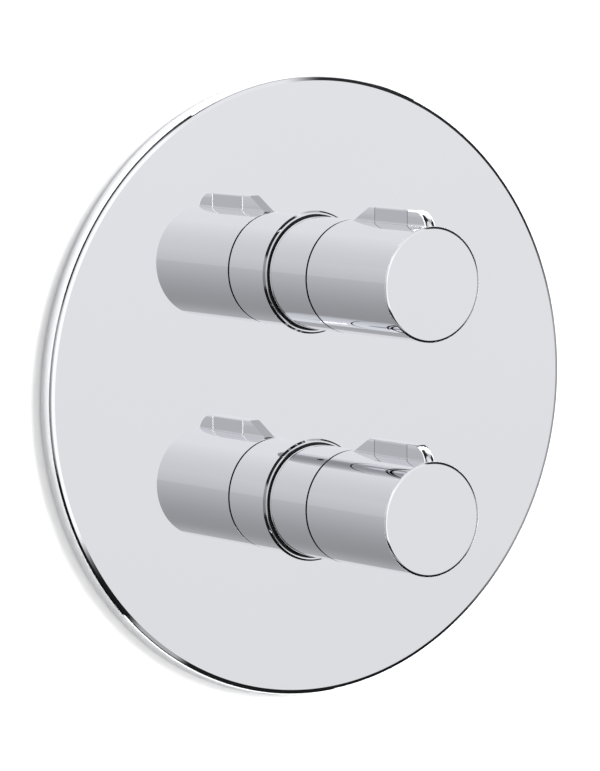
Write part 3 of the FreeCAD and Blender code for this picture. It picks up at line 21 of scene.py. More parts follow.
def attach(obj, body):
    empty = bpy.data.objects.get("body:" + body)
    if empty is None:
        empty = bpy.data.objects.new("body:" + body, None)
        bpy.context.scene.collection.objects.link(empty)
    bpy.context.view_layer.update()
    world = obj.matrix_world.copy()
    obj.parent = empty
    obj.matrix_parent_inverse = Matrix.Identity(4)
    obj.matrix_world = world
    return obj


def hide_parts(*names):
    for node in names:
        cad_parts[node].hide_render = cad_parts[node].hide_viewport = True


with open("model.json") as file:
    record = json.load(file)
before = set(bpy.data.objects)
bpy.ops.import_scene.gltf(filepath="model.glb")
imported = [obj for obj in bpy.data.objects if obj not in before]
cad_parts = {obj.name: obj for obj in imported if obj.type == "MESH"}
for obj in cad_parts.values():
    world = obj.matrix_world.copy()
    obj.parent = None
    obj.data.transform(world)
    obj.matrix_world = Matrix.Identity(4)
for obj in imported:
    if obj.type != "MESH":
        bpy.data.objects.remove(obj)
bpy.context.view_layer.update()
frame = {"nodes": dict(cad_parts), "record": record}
nodes = frame["nodes"]
MM = 0.001

# %% [markdown]
# ## The camera
#
# The photograph was taken with a long lens from the left and from slightly above. A long lens
# keeps the circles of the knobs and of the plate nearly the same shape. The place, the turn and
# the focal length were solved from the outlines of the plate and of the knobs.

# %% Camera
PHOTO_HEIGHT = 771  # pixels
FOCAL_PIXELS = 5270.4
CAMERA_PLACE = (-1.06835, -1.52611, 0.17943)
CAMERA_DOWN, CAMERA_ROLL, CAMERA_LEFT = 5.508, 0.018, 34.955  # degrees
SENSOR = 36.0  # millimetres, along the photograph's longer side

camera_data = bpy.data.cameras.new("studio_camera")
camera_data.sensor_width = SENSOR
camera_data.lens = SENSOR * FOCAL_PIXELS / PHOTO_HEIGHT
camera_data.clip_start, camera_data.clip_end = 0.05, 50
camera = bpy.data.objects.new("studio_camera", camera_data)
camera.location = CAMERA_PLACE
camera.rotation_euler = (
    math.radians(90 - CAMERA_DOWN),
    math.radians(CAMERA_ROLL),
    math.radians(-CAMERA_LEFT),
)
bpy.context.collection.objects.link(camera)
bpy.context.scene.camera = camera
bpy.context.scene.view_settings.view_transform = "Standard"
print("lens", round(camera_data.lens, 1), "mm")

# %% [markdown]
# ## Shader maths as plain expressions
#
# A material's nodes read badly as a list of links. One small class wraps a socket, so that
# `0.2 + grain * 0.1` adds the Math nodes by itself. A second class holds the node tree of a
# material or of the world, and adds every other kind of node through one method.


# %% Sockets that add up
class Value:
    """A socket that holds a number, with the usual operators."""

    def __init__(self, tree, socket):
        self.tree, self.socket = tree, socket

    def math(self, operation, *others, clamp=False):
        """Adds one Math node. The others are sockets like this one, or plain numbers."""
        node = self.tree.nodes.new("ShaderNodeMath")
        node.operation, node.use_clamp = operation, clamp
        for place, value in zip(node.inputs, (self, *others)):
            if isinstance(value, Value):
                self.tree.links.new(value.socket, place)
            else:
                place.default_value = value
        return Value(self.tree, node.outputs[0])

    def __add__(self, other):
        return self.math("ADD", other)

    def __radd__(self, other):
        return self.math("ADD", other)

    def __sub__(self, other):
        return self.math("SUBTRACT", other)

    def __rsub__(self, other):
        return -self + other

    def __mul__(self, other):
        return self.math("MULTIPLY", other)

    def __rmul__(self, other):
        return self.math("MULTIPLY", other)

    def __truediv__(self, other):
        return self.math("DIVIDE", other)

    def __neg__(self):
        return self.math("MULTIPLY", -1)

    def __abs__(self):
        return self.math("ABSOLUTE")

    def clamped(self):
        return self.math("ADD", 0, clamp=True)

    def ramp(self, low, high):
        """0 below low, 1 above high, and a straight line between them."""
        return ((self - low) / (high - low)).clamped()

    def eased(self, low, high):
        """The same with soft ends."""
        share = self.ramp(low, high)
        return share * share * (3 - 2 * share)


# %% Node trees
class Shader:
    """A node tree to which nodes are added by type, settings and inputs."""

    def __init__(self, tree):
        self.tree = tree
        tree.nodes.clear()

    def node(self, kind, settings=None, **inputs):
        """Adds a node. Its inputs go by their own names, with _ for a space."""
        node = self.tree.nodes.new(kind)
        for name, value in (settings or {}).items():
            setattr(node, name, value)
        for name, value in inputs.items():
            place = node.inputs[name.replace("_", " ")]
            if isinstance(value, Value):
                value = value.socket
            if isinstance(value, bpy.types.NodeSocket):
                self.tree.links.new(value, place)
            else:
                place.default_value = value
        return node

    def value(self, socket):
        """The socket as a number that can be calculated with."""
        return Value(self.tree, socket)

    def blend(self, share, first, second):
        """A colour between two colours."""
        node = self.node("ShaderNodeMix", {"data_type": "RGBA"})
        self.tree.links.new(share.socket, node.inputs[0])
        places = [place for place in node.inputs if place.type == "RGBA"]
        for place, colour in zip(places, (first, second)):
            place.default_value = (*colour, 1)
        return next(out for out in node.outputs if out.type == "RGBA")


def surface(name, colour, roughness, metallic=0.0):
    """A material with its output node, ready for what varies over the surface."""
    material = bpy.data.materials.new(name)
    material.use_nodes = True
    shader = Shader(material.node_tree)
    principled = shader.node(
        "ShaderNodeBsdfPrincipled", Base_Color=(*colour, 1), Roughness=roughness, Metallic=metallic
    )
    shader.node("ShaderNodeOutputMaterial", Surface=principled.outputs[0])
    return material, shader, principled


def grain(shader, size, detail=4.0, stretch=(1, 1, 1)):
    """Noise in millimetres over the piece, as a number from 0 to 1."""
    coords = shader.node("ShaderNodeTexCoord")
    scaled = shader.node("ShaderNodeMapping", Vector=coords.outputs["Object"], Scale=stretch)
    noise = shader.node(
        "ShaderNodeTexNoise", Vector=scaled.outputs[0], Scale=1 / (size * MM), Detail=detail
    )
    return shader.value(noise.outputs[0])


def vary(shader, principled, pattern, dark, light, roughness=None, bump=None):
    """Lets a pattern shift the colour, the roughness and the relief of a finish."""
    links = shader.tree.links
    links.new(shader.blend(pattern, dark, light), principled.inputs["Base Color"])
    if roughness:
        low, high = roughness
        links.new((pattern * (high - low) + low).socket, principled.inputs["Roughness"])
    if bump:
        strength, depth = bump
        relief = shader.node(
            "ShaderNodeBump", Height=pattern, Strength=strength, Distance=depth * MM
        )
        links.new(relief.outputs[0], principled.inputs["Normal"])


# %% [markdown]
# ## Mirror-polished chrome
#
# Chrome is a hard, slightly blue mirror. On a photograph it has no colour of its own: it shows
# the room. What it does have is a trace of wiping marks, so its colour and its roughness waver
# by a hair.

# %% Chrome
chrome, shader, principled = surface("polished_chrome", (0.9, 0.905, 0.925), 0.01, metallic=1.0)
haze = grain(shader, 26.0, detail=3.0)
roughness = 0.004 + haze.ramp(0.45, 0.75) * 0.012
shader.tree.links.new(roughness.socket, principled.inputs["Roughness"])
vary(shader, principled, grain(shader, 60.0, detail=1.0), (0.895, 0.9, 0.92), (0.905, 0.91, 0.93))
print(chrome.name, "is ready")

# %% [markdown]
# ## Brass, cast and turned
#
# The casting comes out of a sand mould: its skin is pitted and dull, and darker in the pits.
# Turned brass is brighter, with fine rings from the lathe round the axis that it was turned on.

# %% Cast brass
cast_brass, shader, principled = surface("cast_brass", (0.62, 0.48, 0.25), 0.42, metallic=1.0)
sand = grain(shader, 0.9, detail=6.0)
vary(shader, principled, sand.ramp(0.3, 0.75), (0.46, 0.34, 0.17), (0.70, 0.56, 0.31),
     roughness=(0.55, 0.34), bump=(0.5, 0.12))
print(cast_brass.name, "is ready")

# %% Turned brass
turned_brass, shader, principled = surface("turned_brass", (0.78, 0.62, 0.33), 0.25, metallic=1.0)
rings = grain(shader, 0.5, detail=2.0, stretch=(0.02, 1, 0.02))
vary(shader, principled, rings.ramp(0.35, 0.65), (0.70, 0.54, 0.27), (0.83, 0.68, 0.39),
     roughness=(0.32, 0.2), bump=(0.25, 0.03))
print(turned_brass.name, "is ready")

# %% [markdown]
# ## Steel and copper
#
# Spring wire, clips, screws, strainers and the shuttle are stainless steel, drawn or rolled, so
# they have fine lines and a grey, even shine. The bulb that holds the wax is drawn copper, which
# tarnishes in patches.

# %% Stainless steel
stainless, shader, principled = surface("stainless_steel", (0.6, 0.6, 0.61), 0.28, metallic=1.0)
lines = grain(shader, 0.35, detail=3.0, stretch=(1, 0.15, 1))
vary(shader, principled, lines, (0.52, 0.52, 0.53), (0.66, 0.66, 0.67), roughness=(0.36, 0.22),
     bump=(0.15, 0.02))
print(stainless.name, "is ready")

# %% Copper
copper, shader, principled = surface("copper_wax_bulb", (0.72, 0.4, 0.27), 0.3, metallic=1.0)
tarnish = grain(shader, 3.5, detail=5.0)
vary(shader, principled, tarnish.ramp(0.35, 0.7), (0.5, 0.26, 0.17), (0.78, 0.46, 0.32),
     roughness=(0.42, 0.24))
print(copper.name, "is ready")

# %% [markdown]
# ## Rubber, foam and plastics
#
# O-rings and lips are black rubber with a dull, slightly dusty skin. The foam ring behind the
# plate is full of pores. The moulded plastics have the fine matt texture of a spark-eroded tool.
# The ceramic discs are made like them, only smoother.

# %% Rubber
rubber, shader, principled = surface("black_rubber", (0.012, 0.012, 0.013), 0.6)
principled.inputs["Specular IOR Level"].default_value = 0.2
skin = grain(shader, 0.6)
vary(shader, principled, skin, (0.008, 0.008, 0.009), (0.02, 0.02, 0.021), roughness=(0.52, 0.7),
     bump=(0.2, 0.02))
print(rubber.name, "is ready")

# %% Foam
PORE = 0.9  # mm
foam, shader, principled = surface("foam_rubber", (0.07, 0.07, 0.072), 0.85)
coords = shader.node("ShaderNodeTexCoord")
pores = shader.node("ShaderNodeTexVoronoi", Vector=coords.outputs["Object"], Scale=1 / (PORE * MM))
depth = shader.value(pores.outputs["Distance"])
vary(shader, principled, depth.ramp(0.05, 0.5), (0.03, 0.03, 0.031), (0.1, 0.1, 0.103),
     roughness=(0.95, 0.8), bump=(0.6, 0.25))
print(foam.name, "is ready")


# %% Moulded plastics
def moulded(name, dark, light, roughness):
    """A plastic with the matt texture of its mould."""
    material, shader, principled = surface(name, light, roughness)
    texture = grain(shader, 0.45, detail=2.0)
    vary(shader, principled, texture, dark, light, roughness=(roughness - 0.05, roughness + 0.06),
         bump=(0.2, 0.02))
    return material


black_plastic = moulded("black_plastic", (0.04, 0.04, 0.043), (0.06, 0.06, 0.064), 0.48)
white_plastic = moulded("white_plastic", (0.76, 0.76, 0.74), (0.83, 0.83, 0.81), 0.42)
grey_plastic = moulded("grey_plastic", (0.26, 0.27, 0.28), (0.36, 0.37, 0.38), 0.5)
white_ceramic = moulded("white_ceramic", (0.86, 0.86, 0.83), (0.91, 0.91, 0.89), 0.14)
print("plastics and ceramic are ready")

# %% [markdown]
# ## Give every CAD node its finish
#
# The record says which finish each node has, so one loop is enough. A CAD mesh is loose
# triangles. Two modifiers close it and keep its edges crisp, so that round faces look round.

# %% Finishes on the nodes
FINISHES = {
    "polished_chrome": chrome,
    "cast_brass": cast_brass,
    "turned_brass": turned_brass,
    "stainless_steel": stainless,
    "copper_wax_bulb": copper,
    "black_rubber": rubber,
    "foam_rubber": foam,
    "black_plastic": black_plastic,
    "white_plastic": white_plastic,
    "grey_plastic": grey_plastic,
    "white_ceramic": white_ceramic,
}
CRISP = math.radians(28)
WELD_GAP = 0.001  # mm


def soften(piece):
    """Round faces are shaded as round, and edges sharper than CRISP stay edges."""
    for face in piece.data.polygons:
        face.use_smooth = True
    weld = piece.modifiers.new("closed", "WELD")
    weld.merge_threshold = WELD_GAP * MM
    crease = piece.modifiers.new("crisp", "EDGE_SPLIT")
    crease.split_angle = CRISP


slots = {entry["node"]: entry["material_slot"] for entry in frame["record"]["subparts"]}
for name, piece in nodes.items():
    piece.data.materials.clear()
    piece.data.materials.append(FINISHES[slots[name]])
    soften(piece)
print(len(slots), "nodes have a finish")

# %% [markdown]
# ## Tools for the polished pieces
#
# A mirror shows a surface's slope, not its place, so these pieces need many steps and normals
# that stay true on flat faces. All but the plate start as an outline that is spun round a knob's
# axis. Their rims are then bevelled, because no turned edge is sharp: the narrow band catches the
# light.


# %% Spin and bevel
TURN_STEPS = 192
EDGE = 0.08  # mm, the bevel of a turned edge that looks sharp
SAME_POINT, SAME_RIM = 0.0005, 0.01  # mm, how near counts as the same


def spun(profile, height):
    """A mesh turned about the Y axis at this height, from (along, radius) points in mm."""
    mesh = bmesh.new()
    corners = [
        mesh.verts.new((0, along * MM, height + radius * MM)) for along, radius in profile
    ]
    edges = [mesh.edges.new(pair) for pair in zip(corners, corners[1:])]
    hollow = profile[0][1] > 0
    if hollow:
        edges.append(mesh.edges.new((corners[-1], corners[0])))
    bmesh.ops.spin(
        mesh, geom=corners + edges, cent=(0, 0, height), axis=(0, 1, 0),
        angle=2 * math.pi, steps=TURN_STEPS, use_merge=True,
    )
    bmesh.ops.remove_doubles(mesh, verts=mesh.verts, dist=SAME_POINT * MM)
    bmesh.ops.recalc_face_normals(mesh, faces=mesh.faces)
    return mesh


def rim_edges(mesh, height, along, radius):
    """The edges of one rim."""
    def on_rim(corner):
        aside = math.hypot(corner.co.x, corner.co.z - height) - radius * MM
        ahead = corner.co.y - along * MM
        return max(abs(aside), abs(ahead)) < SAME_RIM * MM

    return [edge for edge in mesh.edges if all(on_rim(corner) for corner in edge.verts)]


def bevelled(mesh, height, rims):
    """Rounds rims given as (along, radius) in mm."""
    edges = [edge for along, radius in rims for edge in rim_edges(mesh, height, along, radius)]
    bmesh.ops.bevel(
        mesh, geom=edges, offset=EDGE * MM, offset_type="OFFSET", segments=3,
        profile=0.5, affect="EDGES", material=-1, clamp_overlap=True,
    )
    return mesh


# %% From mesh to piece
def piece_from(mesh, name, finish=chrome):
    """An object in the scene, made from the mesh and given one finish."""
    data = bpy.data.meshes.new(name)
    mesh.to_mesh(data)
    mesh.free()
    data.materials.append(finish)
    piece = bpy.data.objects.new(name, data)
    bpy.context.collection.objects.link(piece)
    return piece


def shade(piece, crisp):
    """Flat faces keep one normal, so that they mirror without waves. Edges stay crisp."""
    piece.data.shade_smooth()
    piece.data.set_sharp_from_angle(angle=crisp)
    even = piece.modifiers.new("even", "WEIGHTED_NORMAL")
    even.weight = 100
    even.keep_sharp = True


def dress(piece, node, body="valve", crisp=CRISP):
    """The piece stands for a CAD node and moves with its body."""
    shade(piece, crisp)
    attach(piece, body)
    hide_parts(node)
    print(piece.name, len(piece.data.polygons), "faces")


def settle(piece):
    """Makes a piece's modifiers part of its mesh."""
    graph = bpy.context.evaluated_depsgraph_get()
    result = bpy.data.meshes.new_from_object(piece.evaluated_get(graph))
    piece.modifiers.clear()
    piece.data = result


def drill_out(piece, tool):
    """Cuts a second mesh out of a piece and keeps only the result."""
    step = piece.modifiers.new("drill", "BOOLEAN")
    step.operation, step.solver, step.object = "DIFFERENCE", "EXACT", tool
    settle(piece)
    bpy.data.objects.remove(tool)


# %% [markdown]
# ## The cover plate
#
# The plate is a disc of polished brass sheet, drawn into a shallow dish so that its rim reaches
# back to the wall. The face is filled between three circles: the outline and the two holes. The
# rim is that outline, drawn on four times: over a shallow band that catches the light, over two
# steeper ones that mirror the dark side of the room, and back to the wall.

# %% Cover plate
UPPER, LOWER = 40.5, -40.5  # heights of the knobs' axes, mm
PLATE_FRONT, PLATE_WALL, PLATE_BACK = -6.0, 1.5, -0.4
PLATE_RADIUS, PLATE_FLARE = 110.0, 0.7
# How far back, and how far outwards, each band of the plate's edge goes, mm.
PLATE_EDGE = [(0.33, 1.15), (0.22, 0.28), (0.5, 0.35)]
PLATE_CRISP = math.radians(8)  # so low that each band of the edge stays a cone
HOLE_RADIUS = 21.4
PLATE_STEPS, HOLE_STEPS = 288, 96
UPRIGHT = Matrix.Rotation(math.radians(90), 3, "X")  # what lies flat then faces the room


def circle(mesh, radius, along, height, steps):
    """A ring of edges across the Y axis."""
    ring = bmesh.ops.create_circle(mesh, radius=radius * MM, segments=steps)["verts"]
    bmesh.ops.rotate(mesh, verts=ring, cent=(0, 0, 0), matrix=UPRIGHT)
    bmesh.ops.translate(mesh, verts=ring, vec=(0, along * MM, height * MM))
    return list({edge for corner in ring for edge in corner.link_edges})


def banded(mesh, edges, radius, back, outward):
    """Draws a rim on by one band and returns the new rim and its radius."""
    drawn = bmesh.ops.extrude_edge_only(mesh, edges=edges)["geom"]
    corners = [part for part in drawn if isinstance(part, bmesh.types.BMVert)]
    spread = (radius + outward) / radius
    bmesh.ops.scale(mesh, verts=corners, vec=(spread, 1, spread))
    bmesh.ops.translate(mesh, verts=corners, vec=(0, back * MM, 0))
    return [part for part in drawn if isinstance(part, bmesh.types.BMEdge)], radius + outward


mesh = bmesh.new()
reach = PLATE_RADIUS - sum(outward for back, outward in PLATE_EDGE)
depth = PLATE_BACK - PLATE_FRONT - sum(back for back, outward in PLATE_EDGE)
rim = circle(mesh, reach, PLATE_FRONT, 0, PLATE_STEPS)
holes = [
    circle(mesh, HOLE_RADIUS, PLATE_FRONT, height, HOLE_STEPS) for height in (UPPER, LOWER)
]
bmesh.ops.triangle_fill(mesh, edges=rim + holes[0] + holes[1], use_beauty=True)
for back, outward in [*PLATE_EDGE, (depth, PLATE_FLARE)]:
    rim, reach = banded(mesh, rim, reach, back, outward)
bmesh.ops.recalc_face_normals(mesh, faces=mesh.faces)
if min(mesh.faces, key=lambda face: face.calc_center_median().y).normal.y > 0:
    bmesh.ops.reverse_faces(mesh, faces=mesh.faces)
plate = piece_from(mesh, "plate_face")
thicken = plate.modifiers.new("sheet", "SOLIDIFY")
thicken.thickness, thicken.offset = PLATE_WALL * MM, -1
thicken.use_even_offset = True
settle(plate)
dress(plate, "cover_plate", crisp=PLATE_CRISP)

# %% [markdown]
# ## Collar rings
#
# Where a barrel leaves the plate, a thin polished ring covers the hole's edge. It is turned with
# a cone outside, which mirrors the dark side of the room as a dark line. Black rubber grips the
# sleeve inside it.

# %% Collar rings
RING_FRONT, RING_RADIUS, RING_BORE = -7.0, 21.8, 20.6
RING_SHOULDER = RING_RADIUS - 0.58  # where the cone ends at the front
RING_SPIGOT, SPIGOT_END = 21.35, -3.5

for knob, height in (("upper", UPPER), ("lower", LOWER)):
    profile = [
        (RING_FRONT, RING_BORE),
        (RING_FRONT, RING_SHOULDER),
        (PLATE_FRONT, RING_RADIUS),
        (PLATE_FRONT, RING_SPIGOT),
        (SPIGOT_END, RING_SPIGOT),
        (SPIGOT_END, RING_BORE),
    ]
    ring = spun(profile, height * MM)
    bevelled(ring, height * MM, [(RING_FRONT, RING_SHOULDER), (RING_FRONT, RING_BORE)])
    dress(piece_from(ring, f"{knob}_ring"), f"{knob}_collar_ring")

# %% [markdown]
# ## The sleeves
#
# The sleeve is the half of the barrel that stands still. It ends at a narrow groove, the seam of
# the knob. Behind that seam a spigot centres the turning half.

# %% Sleeves
KNOB_RADIUS, SEAM, GROOVE = 20.0, -30.0, 0.9
SLEEVE_FRONT, HANDLE_BACK = SEAM + GROOVE / 2, SEAM - GROOVE / 2
SLEEVE_BACK, THREAD_FRONT = 15.7, 6.0
SLEEVE_BORE, THREAD_RADIUS = 18.4, 17.6
END_WALL, END_HOLE = 2.0, 12.5
SLEEVE_SPIGOT, SPIGOT_WALL, SPIGOT_LENGTH = 17.4, 1.2, 2.8

for knob, height in (("upper", UPPER), ("lower", LOWER)):
    profile = [
        (SLEEVE_FRONT + END_WALL, END_HOLE),
        (SLEEVE_FRONT, END_HOLE),
        (SLEEVE_FRONT, SLEEVE_SPIGOT - SPIGOT_WALL),
        (SLEEVE_FRONT - SPIGOT_LENGTH, SLEEVE_SPIGOT - SPIGOT_WALL),
        (SLEEVE_FRONT - SPIGOT_LENGTH, SLEEVE_SPIGOT),
        (SLEEVE_FRONT, SLEEVE_SPIGOT),
        (SLEEVE_FRONT, KNOB_RADIUS),
        (SLEEVE_BACK, KNOB_RADIUS),
        (SLEEVE_BACK, THREAD_RADIUS),
        (THREAD_FRONT, THREAD_RADIUS),
        (THREAD_FRONT, SLEEVE_BORE),
        (SLEEVE_FRONT + END_WALL, SLEEVE_BORE),
    ]
    sleeve = spun(profile, height * MM)
    bevelled(sleeve, height * MM, [(SLEEVE_FRONT, KNOB_RADIUS), (SLEEVE_BACK, KNOB_RADIUS)])
    dress(piece_from(sleeve, f"{knob}_barrel"), f"{knob}_sleeve")

# %% [markdown]
# ## The handles
#
# Each handle is turned from solid brass and hollowed from behind for its splined insert. On top
# stands the lever tab that a finger pushes: straight flanks, narrowed ends, a ramp behind, a
# rounded nose, and a small radius at the foot. The tab is a stack of outlines, bridged one to the
# next. It is a closed shell of its own that reaches into the barrel, because a cut through the
# barrel's long facets would bend what they mirror.

# %% The handle's barrel
KNOB_FRONT = -77.0
FACE_RADIUS = KNOB_RADIUS - 0.8  # a shallow cone runs from here to the barrel
CONE_END = KNOB_FRONT + 0.33
CAVITY_RADIUS, CAVITY_DEPTH = 17.8, 9.75
BORE_RADIUS, FRONT_WALL = 12.2, 5.0


def barrel(height):
    """The turned part of a handle."""
    profile = [
        (KNOB_FRONT, 0),
        (KNOB_FRONT, FACE_RADIUS),
        (CONE_END, KNOB_RADIUS),
        (HANDLE_BACK, KNOB_RADIUS),
        (HANDLE_BACK, CAVITY_RADIUS),
        (HANDLE_BACK - CAVITY_DEPTH, CAVITY_RADIUS),
        (HANDLE_BACK - CAVITY_DEPTH, BORE_RADIUS),
        (KNOB_FRONT + FRONT_WALL, BORE_RADIUS),
        (KNOB_FRONT + FRONT_WALL, 0),
    ]
    return bevelled(spun(profile, height * MM), height * MM, profile[1:4])


# %% The lever tab
TAB_HEIGHT, TAB_SETBACK = 5.3, 0.4
TAB_NOSE, TAB_FRONT_TAPER, TAB_WAIST, TAB_REAR_TAPER, TAB_RAMP = 6.5, 4.3, 19.2, 3.6, 9.5
TAB_WIDTH, TAB_END_WIDTH = 5.2, 4.0
TAB_BULGE, NOSE_STEPS = 1.5, 8  # how far the nose's end stands forward in the middle
TAB_FOOT, TAB_CROWN = 0.25, 0.5  # radii at the foot and along the upper edge
TAB_ROUND = 1.6  # 2 makes the nose's side view a quarter ellipse, 1 a straight slope
TAB_GROOVE = (0.2, 0.15)  # half the width, and the depth, of the line at a flank's ends
# Heights of the outlines over the barrel, mm: close together at the foot and the upper edge.
TAB_LEVELS = [-1.2, 0, 0.08, 0.25, 0.9, 1.6, 2.3, 2.9, 3.5, 4.0, 4.45, 4.8, 5.0, 5.14, 5.24, 5.3]


def rounding(radius, depth):
    """How far a quarter circle has left its tangent at this depth, and 0 before it."""
    return radius - math.sqrt(radius**2 - min(max(depth, 0), radius) ** 2)


def tab_outline(mesh, level, height):
    """One outline of the tab, seen from above, at this level over the barrel."""
    rise = max(level, 0) / TAB_HEIGHT
    foot = rounding(TAB_FOOT, TAB_FOOT - max(level, 0))
    crown = rounding(TAB_CROWN, level - TAB_HEIGHT + TAB_CROWN)
    waist = TAB_WIDTH / 2 + foot - crown
    end = TAB_END_WIDTH / 2 + foot - crown
    drawn_back = 1 - (1 - rise**TAB_ROUND) ** (1 / TAB_ROUND)
    nose = KNOB_FRONT + TAB_SETBACK + drawn_back * TAB_NOSE
    half = []
    for step in range(NOSE_STEPS + 1):
        turn = math.pi / 2 * step / NOSE_STEPS
        half.append((end * math.sin(turn), nose + TAB_BULGE * (1 - math.cos(turn))))
    waist_front = KNOB_FRONT + TAB_SETBACK + TAB_NOSE + TAB_FRONT_TAPER
    across, deep = TAB_GROOVE
    for line in (waist_front, waist_front + TAB_WAIST):
        half += [(waist, line - across), (waist - deep, line), (waist, line + across)]
    ramp = TAB_RAMP * (1 - level / TAB_HEIGHT)
    half.append((end, waist_front + TAB_WAIST + TAB_REAR_TAPER + ramp))
    points = half + [(-side, along) for side, along in reversed(half[1:])]
    corners = [
        mesh.verts.new((side * MM, along * MM, (height + KNOB_RADIUS + level) * MM))
        for side, along in points
    ]
    return [mesh.edges.new(pair) for pair in zip(corners, corners[1:] + corners[:1])]


def add_tab(mesh, height):
    """The lever tab, a little sunk into the barrel that it stands on."""
    outlines = [tab_outline(mesh, level, height) for level in TAB_LEVELS]
    for below, above in zip(outlines, outlines[1:]):
        bmesh.ops.bridge_loops(mesh, edges=below + above)
    for end in (outlines[0], outlines[-1]):
        bmesh.ops.contextual_create(mesh, geom=end)
    bmesh.ops.recalc_face_normals(mesh, faces=mesh.faces)


# %% Handles
GRUB_SETBACK, GRUB_HOLE, GRUB_STEPS = 27.0, 2.5, 48
DRILL_END = KNOB_RADIUS + 1  # a drill starts outside the barrel


def grub_hole(height):
    """A drill for the hole under the handle."""
    mesh = bmesh.new()
    bmesh.ops.create_cone(
        mesh, cap_ends=True, segments=GRUB_STEPS, radius1=GRUB_HOLE * MM,
        radius2=GRUB_HOLE * MM, depth=(DRILL_END - BORE_RADIUS) * MM,
    )
    middle = height - (DRILL_END + BORE_RADIUS) / 2
    bmesh.ops.translate(
        mesh, verts=mesh.verts, vec=(0, (KNOB_FRONT + GRUB_SETBACK) * MM, middle * MM)
    )
    return mesh


for knob, height, body in (
    ("flow", UPPER, "flow_control"),
    ("temperature", LOWER, "temperature_control"),
):
    handle = piece_from(barrel(height), f"{knob}_knob")
    drill_out(handle, piece_from(grub_hole(height), "drill"))
    mesh = bmesh.new()
    mesh.from_mesh(handle.data)
    add_tab(mesh, height)
    mesh.to_mesh(handle.data)
    mesh.free()
    dress(handle, f"{knob}_handle", body)

# %% [markdown]
# ## The wall and the floor
#
# The plate hangs on a white wall. The wall has a cut-out behind the plate, through which the
# brass casting reaches, so from behind the whole valve can be seen. The wall glows a little for
# the camera, which sees it white, and it still takes the plate's soft shadow.

# %% Wall and floor
WALL_SIZE, FLOOR_SIZE, FLOOR_DROP = 3.0, 6.0, 0.9  # metres
CUT_OUT, CUT_OUT_STEPS = 98.5, 128  # the hole's radius in mm
WALL_GAP = 0.1  # mm behind the wall's place in the CAD, so that no two faces share a place
WALL_GLOW = 0.15


def backdrop(name, colour, glow):
    """A plain surface that adds a little light of its own for the camera."""
    material = bpy.data.materials.new(name)
    material.use_nodes = True
    shader = Shader(material.node_tree)
    matt = shader.node("ShaderNodeBsdfDiffuse", Color=(*colour, 1))
    path = shader.node("ShaderNodeLightPath")
    seen = shader.value(path.outputs["Is Camera Ray"])
    lit = shader.node("ShaderNodeEmission", Color=(1, 1, 1, 1), Strength=seen * glow)
    both = shader.node("ShaderNodeAddShader")
    for part, place in zip((matt, lit), both.inputs):
        shader.tree.links.new(part.outputs[0], place)
    shader.node("ShaderNodeOutputMaterial", Surface=both.outputs[0])
    return material


mesh = bmesh.new()
edge = bmesh.ops.create_grid(mesh, x_segments=1, y_segments=1, size=WALL_SIZE / 2)["verts"]
bmesh.ops.delete(mesh, geom=list(mesh.faces), context="FACES_ONLY")
bmesh.ops.rotate(mesh, verts=edge, cent=(0, 0, 0), matrix=UPRIGHT)
circle(mesh, CUT_OUT, 0, 0, CUT_OUT_STEPS)
bmesh.ops.triangle_fill(mesh, edges=mesh.edges, use_beauty=True)
bmesh.ops.recalc_face_normals(mesh, faces=mesh.faces)
wall = piece_from(mesh, "wall", backdrop("wall_paint", (0.8, 0.8, 0.8), glow=WALL_GLOW))
wall.location.y = WALL_GAP * MM

mesh = bmesh.new()
bmesh.ops.create_grid(mesh, x_segments=1, y_segments=1, size=FLOOR_SIZE / 2)
floor = piece_from(mesh, "floor", backdrop("floor_paint", (0.78, 0.78, 0.77), glow=0.0))
floor.location = (0, 0, -FLOOR_DROP)
floor.visible_glossy = False
print("wall and floor ready")

# %% [markdown]
# ## The room that the chrome shows
#
# Chrome looks like chrome only if it has something to mirror. The world is a simple room, drawn
# as a function of direction. In front of the valve it is bright on the right and dimmer on the
# left, over a darker ground whose edge drops towards the right.
#
# Narrow bands of the metal are turned away from all that, and they make the crisp lines. A
# softbox straight in front of the plate, to the right of the camera, gives the white ones. The
# room is nearly black to both sides and steeply below, and dark grey at the sides near eye
# level, which gives the dark ones. A skylight on the right brightens what faces up.

# %% Directions
world = bpy.data.worlds.new("studio")
bpy.context.scene.world = world
world.use_nodes = True
shader = Shader(world.node_tree)
direction = shader.node("ShaderNodeTexCoord").outputs["Generated"]
parts = shader.node("ShaderNodeSeparateXYZ", Vector=direction)
right, back, up = (shader.value(out) for out in parts.outputs)

# %% Room and ground
across = right.ramp(-0.5, 0.05)
fade = (0.25 - across * 0.16 - up).ramp(0.0, 0.27)
room = 0.70 + across * 0.18 - fade * 0.09
ground = 0.555 + up * 0.36 + right.eased(0.0, 0.4) * 0.07
horizon = right.eased(0.0, 0.45) * -0.4
above = (up - horizon).eased(-0.014, 0.014)
light = ground + (room - ground) * above

# %% Softbox in front
SOFTBOX = 1.1
softbox = right.eased(-0.22, -0.12) * right.eased(0.46, 0.4)
softbox = softbox * abs(up).eased(0.4, 0.34) * back.eased(-0.86, -0.9)
light = light + (SOFTBOX - light) * softbox

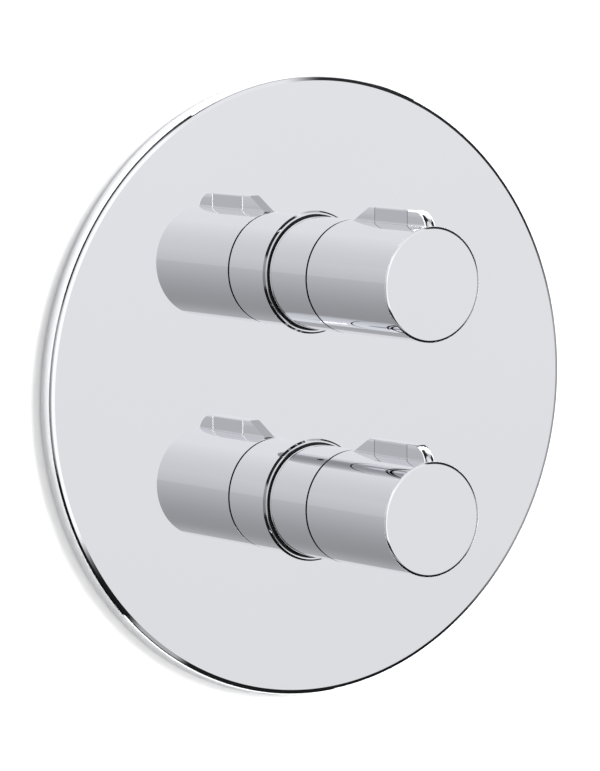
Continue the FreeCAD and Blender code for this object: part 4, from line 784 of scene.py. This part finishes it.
# %% Dark sides
BARREL_BACK = -0.815  # by way of the plate the barrels show this slope only: it keeps its ground
beside = back.eased(-0.62, -0.48)
far_right = (right + abs(up) * 0.4).eased(0.68, 0.75)
below = up.eased(-0.32, -0.42) * abs(back - BARREL_BACK).eased(0.022, 0.045)
dark = beside.math("MAXIMUM", far_right).math("MAXIMUM", below)
dark = dark * back.eased(0.25, 0.05)  # behind the wall the room is bright again
level_left = right.eased(-0.5, -0.7) * up.eased(0.45, 0.3)
level_right = right.eased(0.5, 0.7) * up.eased(0.12, -0.05)
level = (level_left + level_right) * up.eased(-0.45, -0.3)
light = light * (1 - dark * (0.97 - level * 0.42))

# %% Skylight
skylight = right.eased(0.1, 0.25) * right.eased(0.8, 0.72) * up.eased(0.6, 0.68)
overhead = 0.5 + back.eased(-0.3, -0.15) * 0.6
light = light + (overhead - light) * skylight

# %% World
path = shader.node("ShaderNodeLightPath")
seen = shader.value(path.outputs["Is Camera Ray"])
strength = light + (1 - light) * seen  # the camera itself sees plain white
background = shader.node("ShaderNodeBackground", Color=(0.99, 0.995, 1.015, 1), Strength=strength)
shader.node("ShaderNodeOutputWorld", Surface=background.outputs[0])
print(world.name, "has", len(world.node_tree.nodes), "nodes")

# %% [markdown]
# ## Lamps
#
# One soft lamp from the upper right front throws the plate's shadow to the lower left. It is
# kept out of the mirrors. A weaker one behind the wall lights the casting for views from there.


# %% Lamps
def lamp(name, place, aim, size, power):
    """A square soft lamp that the chrome doesn't show. Lengths are metres, power is watts."""
    data = bpy.data.lights.new(name, "AREA")
    data.size, data.energy = size, power
    source = bpy.data.objects.new(name, data)
    source.location = place
    source.rotation_euler = (Vector(aim) - Vector(place)).to_track_quat("-Z", "Y").to_euler()
    source.visible_glossy = False
    bpy.context.collection.objects.link(source)


lamp("key", place=(2.55, -2.4, 1.05), aim=(0, 0, 0), size=2.25, power=236)
lamp("behind", place=(-1.0, 1.6, 0.9), aim=(0, 0.03, 0), size=1.2, power=40)
print("two lamps are lit")
